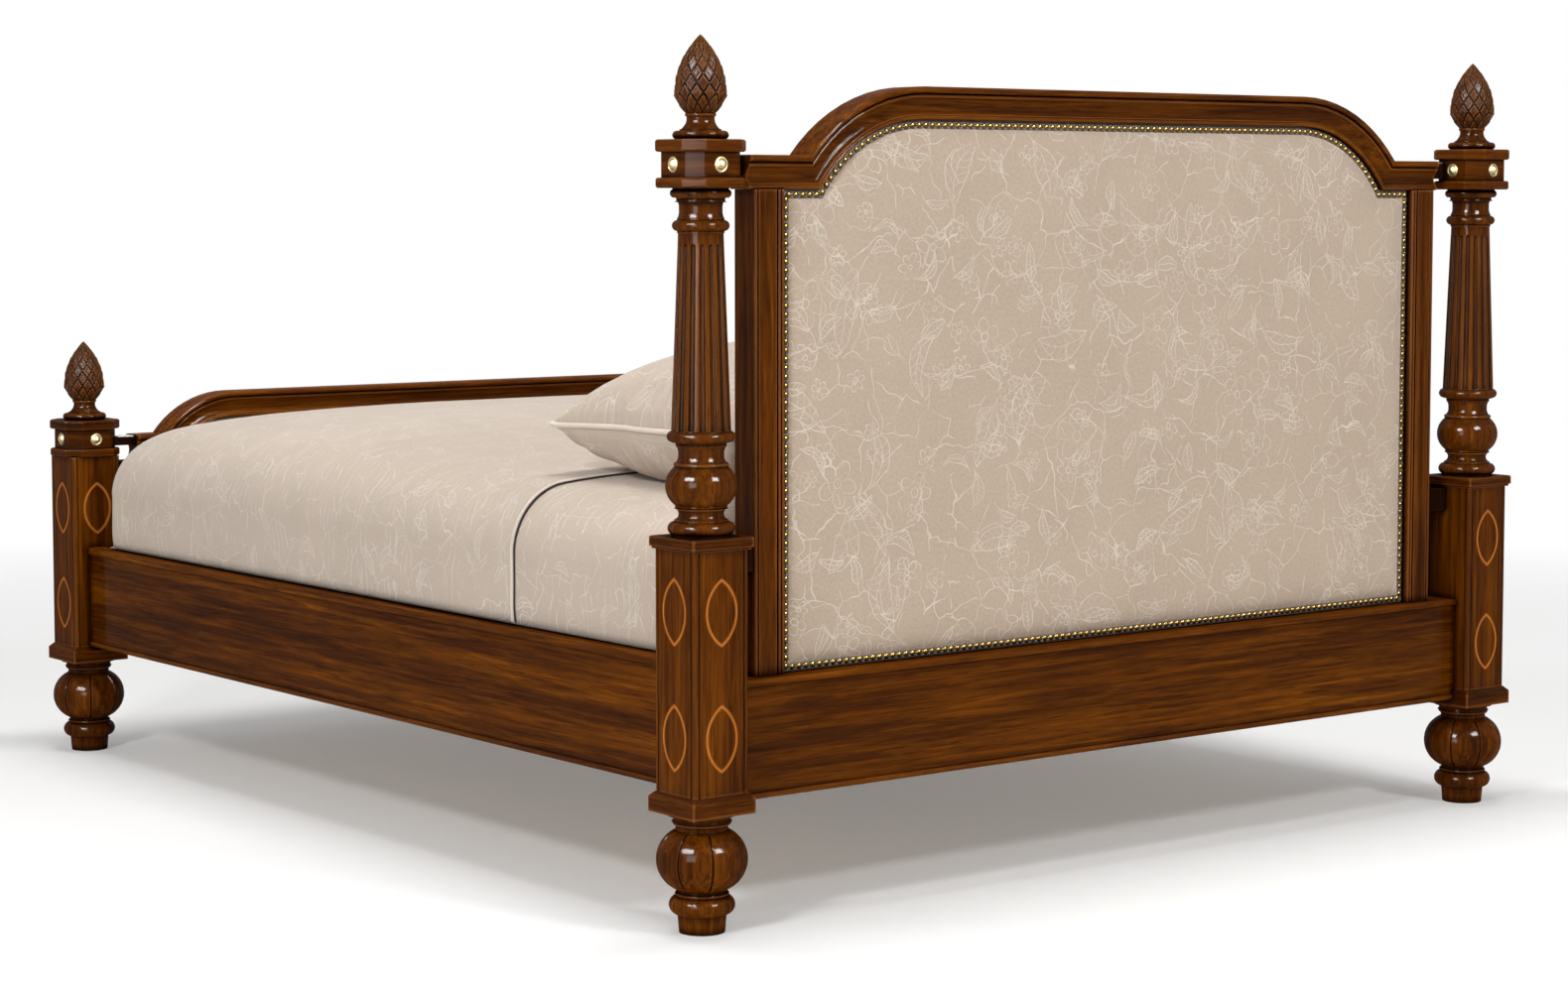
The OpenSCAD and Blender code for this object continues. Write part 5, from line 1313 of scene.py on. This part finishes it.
def cone_tree():
    """A pine cone with rows of pointed scales, standing on its foot's place."""
    tree = bpy.data.node_groups.new("carved pine cone", "GeometryNodeTree")
    given = inputs_of(tree, {"Start": "Geometry", "Radius": "Float", "Foot radius": "Float",
                             "Widest": "Float", "Height": "Float", "Lift": "Float",
                             "Scales": "Float", "Rows": "Float", "Foot": "Vector",
                             "Finish": "Material"})
    grid = add(tree, "GeometryNodeMeshGrid", {"Size X": 1.0, "Size Y": 1.0,
                                              "Vertices X": CONE_GRID[0],
                                              "Vertices Y": CONE_GRID[1]})
    place = add(tree, "GeometryNodeInputPosition")
    flat = add(tree, "ShaderNodeSeparateXYZ", place).node.outputs
    around = add(tree, MATHS, flat[0], 0.5, operation="ADD")
    up = add(tree, MATHS, flat[1], 0.5, operation="ADD")
    shape = cone_outline(tree, up, given["Radius"], given["Foot radius"], given["Widest"])
    rows = add(tree, MATHS, up, given["Rows"], operation="MULTIPLY")
    scales = add(tree, MATHS, around, given["Scales"], operation="MULTIPLY")
    lift = add(tree, MATHS, scale_lift(tree, scales, rows, up), given["Lift"],
               operation="MULTIPLY")
    smaller = add(tree, MATHS, shape, given["Radius"], operation="DIVIDE")
    smaller = add(tree, MATHS, smaller, SMALLER_POWER, operation="POWER")
    lift = add(tree, MATHS, lift, smaller, operation="MULTIPLY")
    radius = add(tree, MATHS, shape, lift, operation="ADD")
    radius = add(tree, MATHS, radius, 0.0, operation="MAXIMUM")
    angle = add(tree, MATHS, around, math.tau, operation="MULTIPLY")
    x = add(tree, MATHS, radius, add(tree, MATHS, angle, operation="COSINE"),
            operation="MULTIPLY")
    y = add(tree, MATHS, radius, add(tree, MATHS, angle, operation="SINE"),
            operation="MULTIPLY")
    z = add(tree, MATHS, up, given["Height"], operation="MULTIPLY")
    place = add(tree, "ShaderNodeCombineXYZ", x, y, z)
    place = add(tree, VECTOR_MATHS, place, given["Foot"], operation="ADD")
    cone = add(tree, "GeometryNodeSetPosition", {"Geometry": grid, "Position": place})
    cone = add(tree, "GeometryNodeMergeByDistance", {"Geometry": cone, "Distance": CONE_SEW})
    return finished(tree, cone, given["Finish"])


def spun(name, profile, centre, base_z, material, count=96):
    """A turned piece from a profile of radius and height in millimetres."""
    rings = []
    for radius, height in profile:
        turn = np.arange(count) * math.tau / count
        rings.append(np.c_[centre[0] + radius * MM * np.cos(turn),
                           centre[1] + radius * MM * np.sin(turn),
                           np.full(count, base_z + height * MM)])
    ends = [[(centre[0], centre[1], base_z + profile[0][1] * MM),
             (centre[0], centre[1], base_z + profile[-1][1] * MM)]]
    made = mesh_piece(name, np.concatenate(rings + ends), loft_faces(len(rings), count), material)
    return facing_out(made)


def half_round(radius, low, high, count=9):
    """Profile points of a bead whose widest radius lies between two heights."""
    r, middle = (high - low) / 2, (low + high) / 2
    turns = [math.radians(angle) for angle in np.linspace(-90, 90, count)]
    return [(radius - r + r * math.cos(turn), middle + r * math.sin(turn)) for turn in turns]


def cove(low_radius, high_radius, low, high, depth, count=10):
    """Profile points of a hollow neck between two radii."""
    return [(low_radius + (high_radius - low_radius) * t - depth * math.sin(math.pi * t),
             low + (high - low) * t) for t in np.linspace(0, 1, count)]


# the turned foot of a finial, in millimetres: a bead, a step, a neck and a ring
FINIAL_BASE = 41
RING_LOW = 35.4
CONE_UNDER_TOP = 0.5 * MM
SHARP_ANGLE = math.radians(40)
FINIAL_PROFILE = (half_round(44, 0, 13.6) + [(32.5, 13.6), (32.5, 16), (30, 16)]
                  + cove(30, 22, 16, RING_LOW, 3)[1:]
                  + half_round(24.5, RING_LOW, FINIAL_BASE, 7))


def make_finial(post):
    """A turned foot with a carved pine cone on it."""
    node = "finial_" + post
    low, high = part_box(node)
    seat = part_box("collar_" + post)[1].z
    centre = ((low.x + high.x) / 2, (low.y + high.y) / 2)
    base = spun("turned_" + node, FINIAL_PROFILE, centre, seat, WALNUT["z"])
    base.data.set_sharp_from_angle(angle=SHARP_ANGLE)
    settle(base, "walnut", node)
    foot = seat + FINIAL_BASE * MM
    cone = grown("cone_" + node, path_object([(0, 0, 0), (0, 0, 1)], False), CONE_TREE,
                 {"Radius": CONE_RADIUS, "Foot radius": CONE_FOOT_RADIUS, "Widest": CONE_WIDEST,
                  "Height": high.z - foot - CONE_UNDER_TOP, "Lift": CONE_LIFT,
                  "Scales": float(CONE_SCALES), "Rows": CONE_ROWS,
                  "Foot": (centre[0], centre[1], foot), "Finish": CARVED})
    facing_out(cone)
    settle(cone, "walnut")


CONE_TREE = cone_tree()
for post_name in POSTS:
    make_finial(post_name)


# Floor, backdrop and light
FLOOR_HALF = 14.0
# the floor shines white in the camera's eye: less under the bed, to keep its shadow, and
# wholly so from FADE_END metres on
SHADOW_SHARE = 0.20
FADE_START, FADE_END = 2.0, 5.0
WORLD_LIGHT = 0.38
AIM = Vector((0, 0, 0.6))
# azimuth and elevation in degrees, distance, width and height in metres, and watts
SOFTBOXES = {"left softbox": (119, 30, 6.0, 0.85, 0.65, 102),
             "right softbox": (184, 30, 6.0, 0.75, 0.65, 80),
             "overhead": (150, 84, 5.0, 3.2, 0.9, 175)}
# seen in the lacquer alone, so that it shines; they light nothing
REFLECTORS = {"left reflector": (109, 30, 6.1, 2.6, 1.5, 1900),
              "right reflector": (184, 30, 6.1, 1.8, 1.5, 1300),
              "low reflector": (122, 8, 5.0, 1.5, 1.5, 190)}


def make_floor():
    """A white floor that keeps the soft shadow of the bed and fades to white further off."""
    material, tree, shader = new_material("white floor")
    wire(tree, shader, {"Base Color": linear("#f7f7f6"), "Roughness": 0.9,
                        "Specular IOR Level": 0.0})
    place = add(tree, "ShaderNodeTexCoord", out="Object")
    far = add(tree, VECTOR_MATHS, place, out="Value", operation="LENGTH")
    path = add(tree, "ShaderNodeLightPath").node.outputs
    seen = add(tree, MATHS, path["Is Camera Ray"], path["Is Glossy Ray"], operation="MAXIMUM")
    share = add(tree, RANGE, far, FADE_START, FADE_END, SHADOW_SHARE, 1.0)
    share = add(tree, MATHS, seen, share, operation="MULTIPLY")
    white = add(tree, "ShaderNodeEmission", {"Color": (1, 1, 1, 1), "Strength": 1.0})
    surface = add(tree, "ShaderNodeMixShader", share, shader.outputs[0], white)
    wire(tree, tree.nodes["Material Output"], {"Surface": surface})
    corners = [(x * FLOOR_HALF, y * FLOOR_HALF, 0) for x, y in ((-1, -1), (1, -1), (1, 1), (-1, 1))]
    mesh_piece("floor", corners, [(0, 1, 2, 3)], material, smooth=False)


def make_lamp(name, azimuth, elevation, distance, width, height, watts):
    """A rectangular lamp that faces the middle of the bed."""
    data = bpy.data.lights.new(name, "AREA")
    data.shape = "RECTANGLE"
    data.size, data.size_y = width, height
    data.energy = watts
    lamp = bpy.data.objects.new(name, data)
    a, e = math.radians(azimuth), math.radians(elevation)
    back = Vector((math.sin(a) * math.cos(e), -math.cos(a) * math.cos(e), math.sin(e)))
    lamp.location = AIM + back * distance
    lamp.rotation_mode = "QUATERNION"
    lamp.rotation_quaternion = (-back).to_track_quat("-Z", "Y")
    lamp.visible_diffuse = name not in REFLECTORS
    SCENE.collection.objects.link(lamp)


def make_world():
    """A dim white world that the camera and the lacquer see as plain white."""
    world = bpy.data.worlds.new("studio")
    SCENE.world = world
    world.use_nodes = True
    tree = world.node_tree
    tree.nodes.clear()
    path = add(tree, "ShaderNodeLightPath").node.outputs
    seen = add(tree, MATHS, path["Is Glossy Ray"], path["Is Transmission Ray"],
               operation="MAXIMUM")
    seen = add(tree, MATHS, path["Is Camera Ray"], seen, operation="MAXIMUM")
    strength = add(tree, RANGE, seen, 0, 1, WORLD_LIGHT, 1.0)
    lit = add(tree, "ShaderNodeBackground", {"Color": (1, 1, 1, 1), "Strength": strength})
    add(tree, "ShaderNodeOutputWorld", {"Surface": lit})


make_floor()
make_world()
for lamp_name, lamp_values in (SOFTBOXES | REFLECTORS).items():
    make_lamp(lamp_name, *lamp_values)
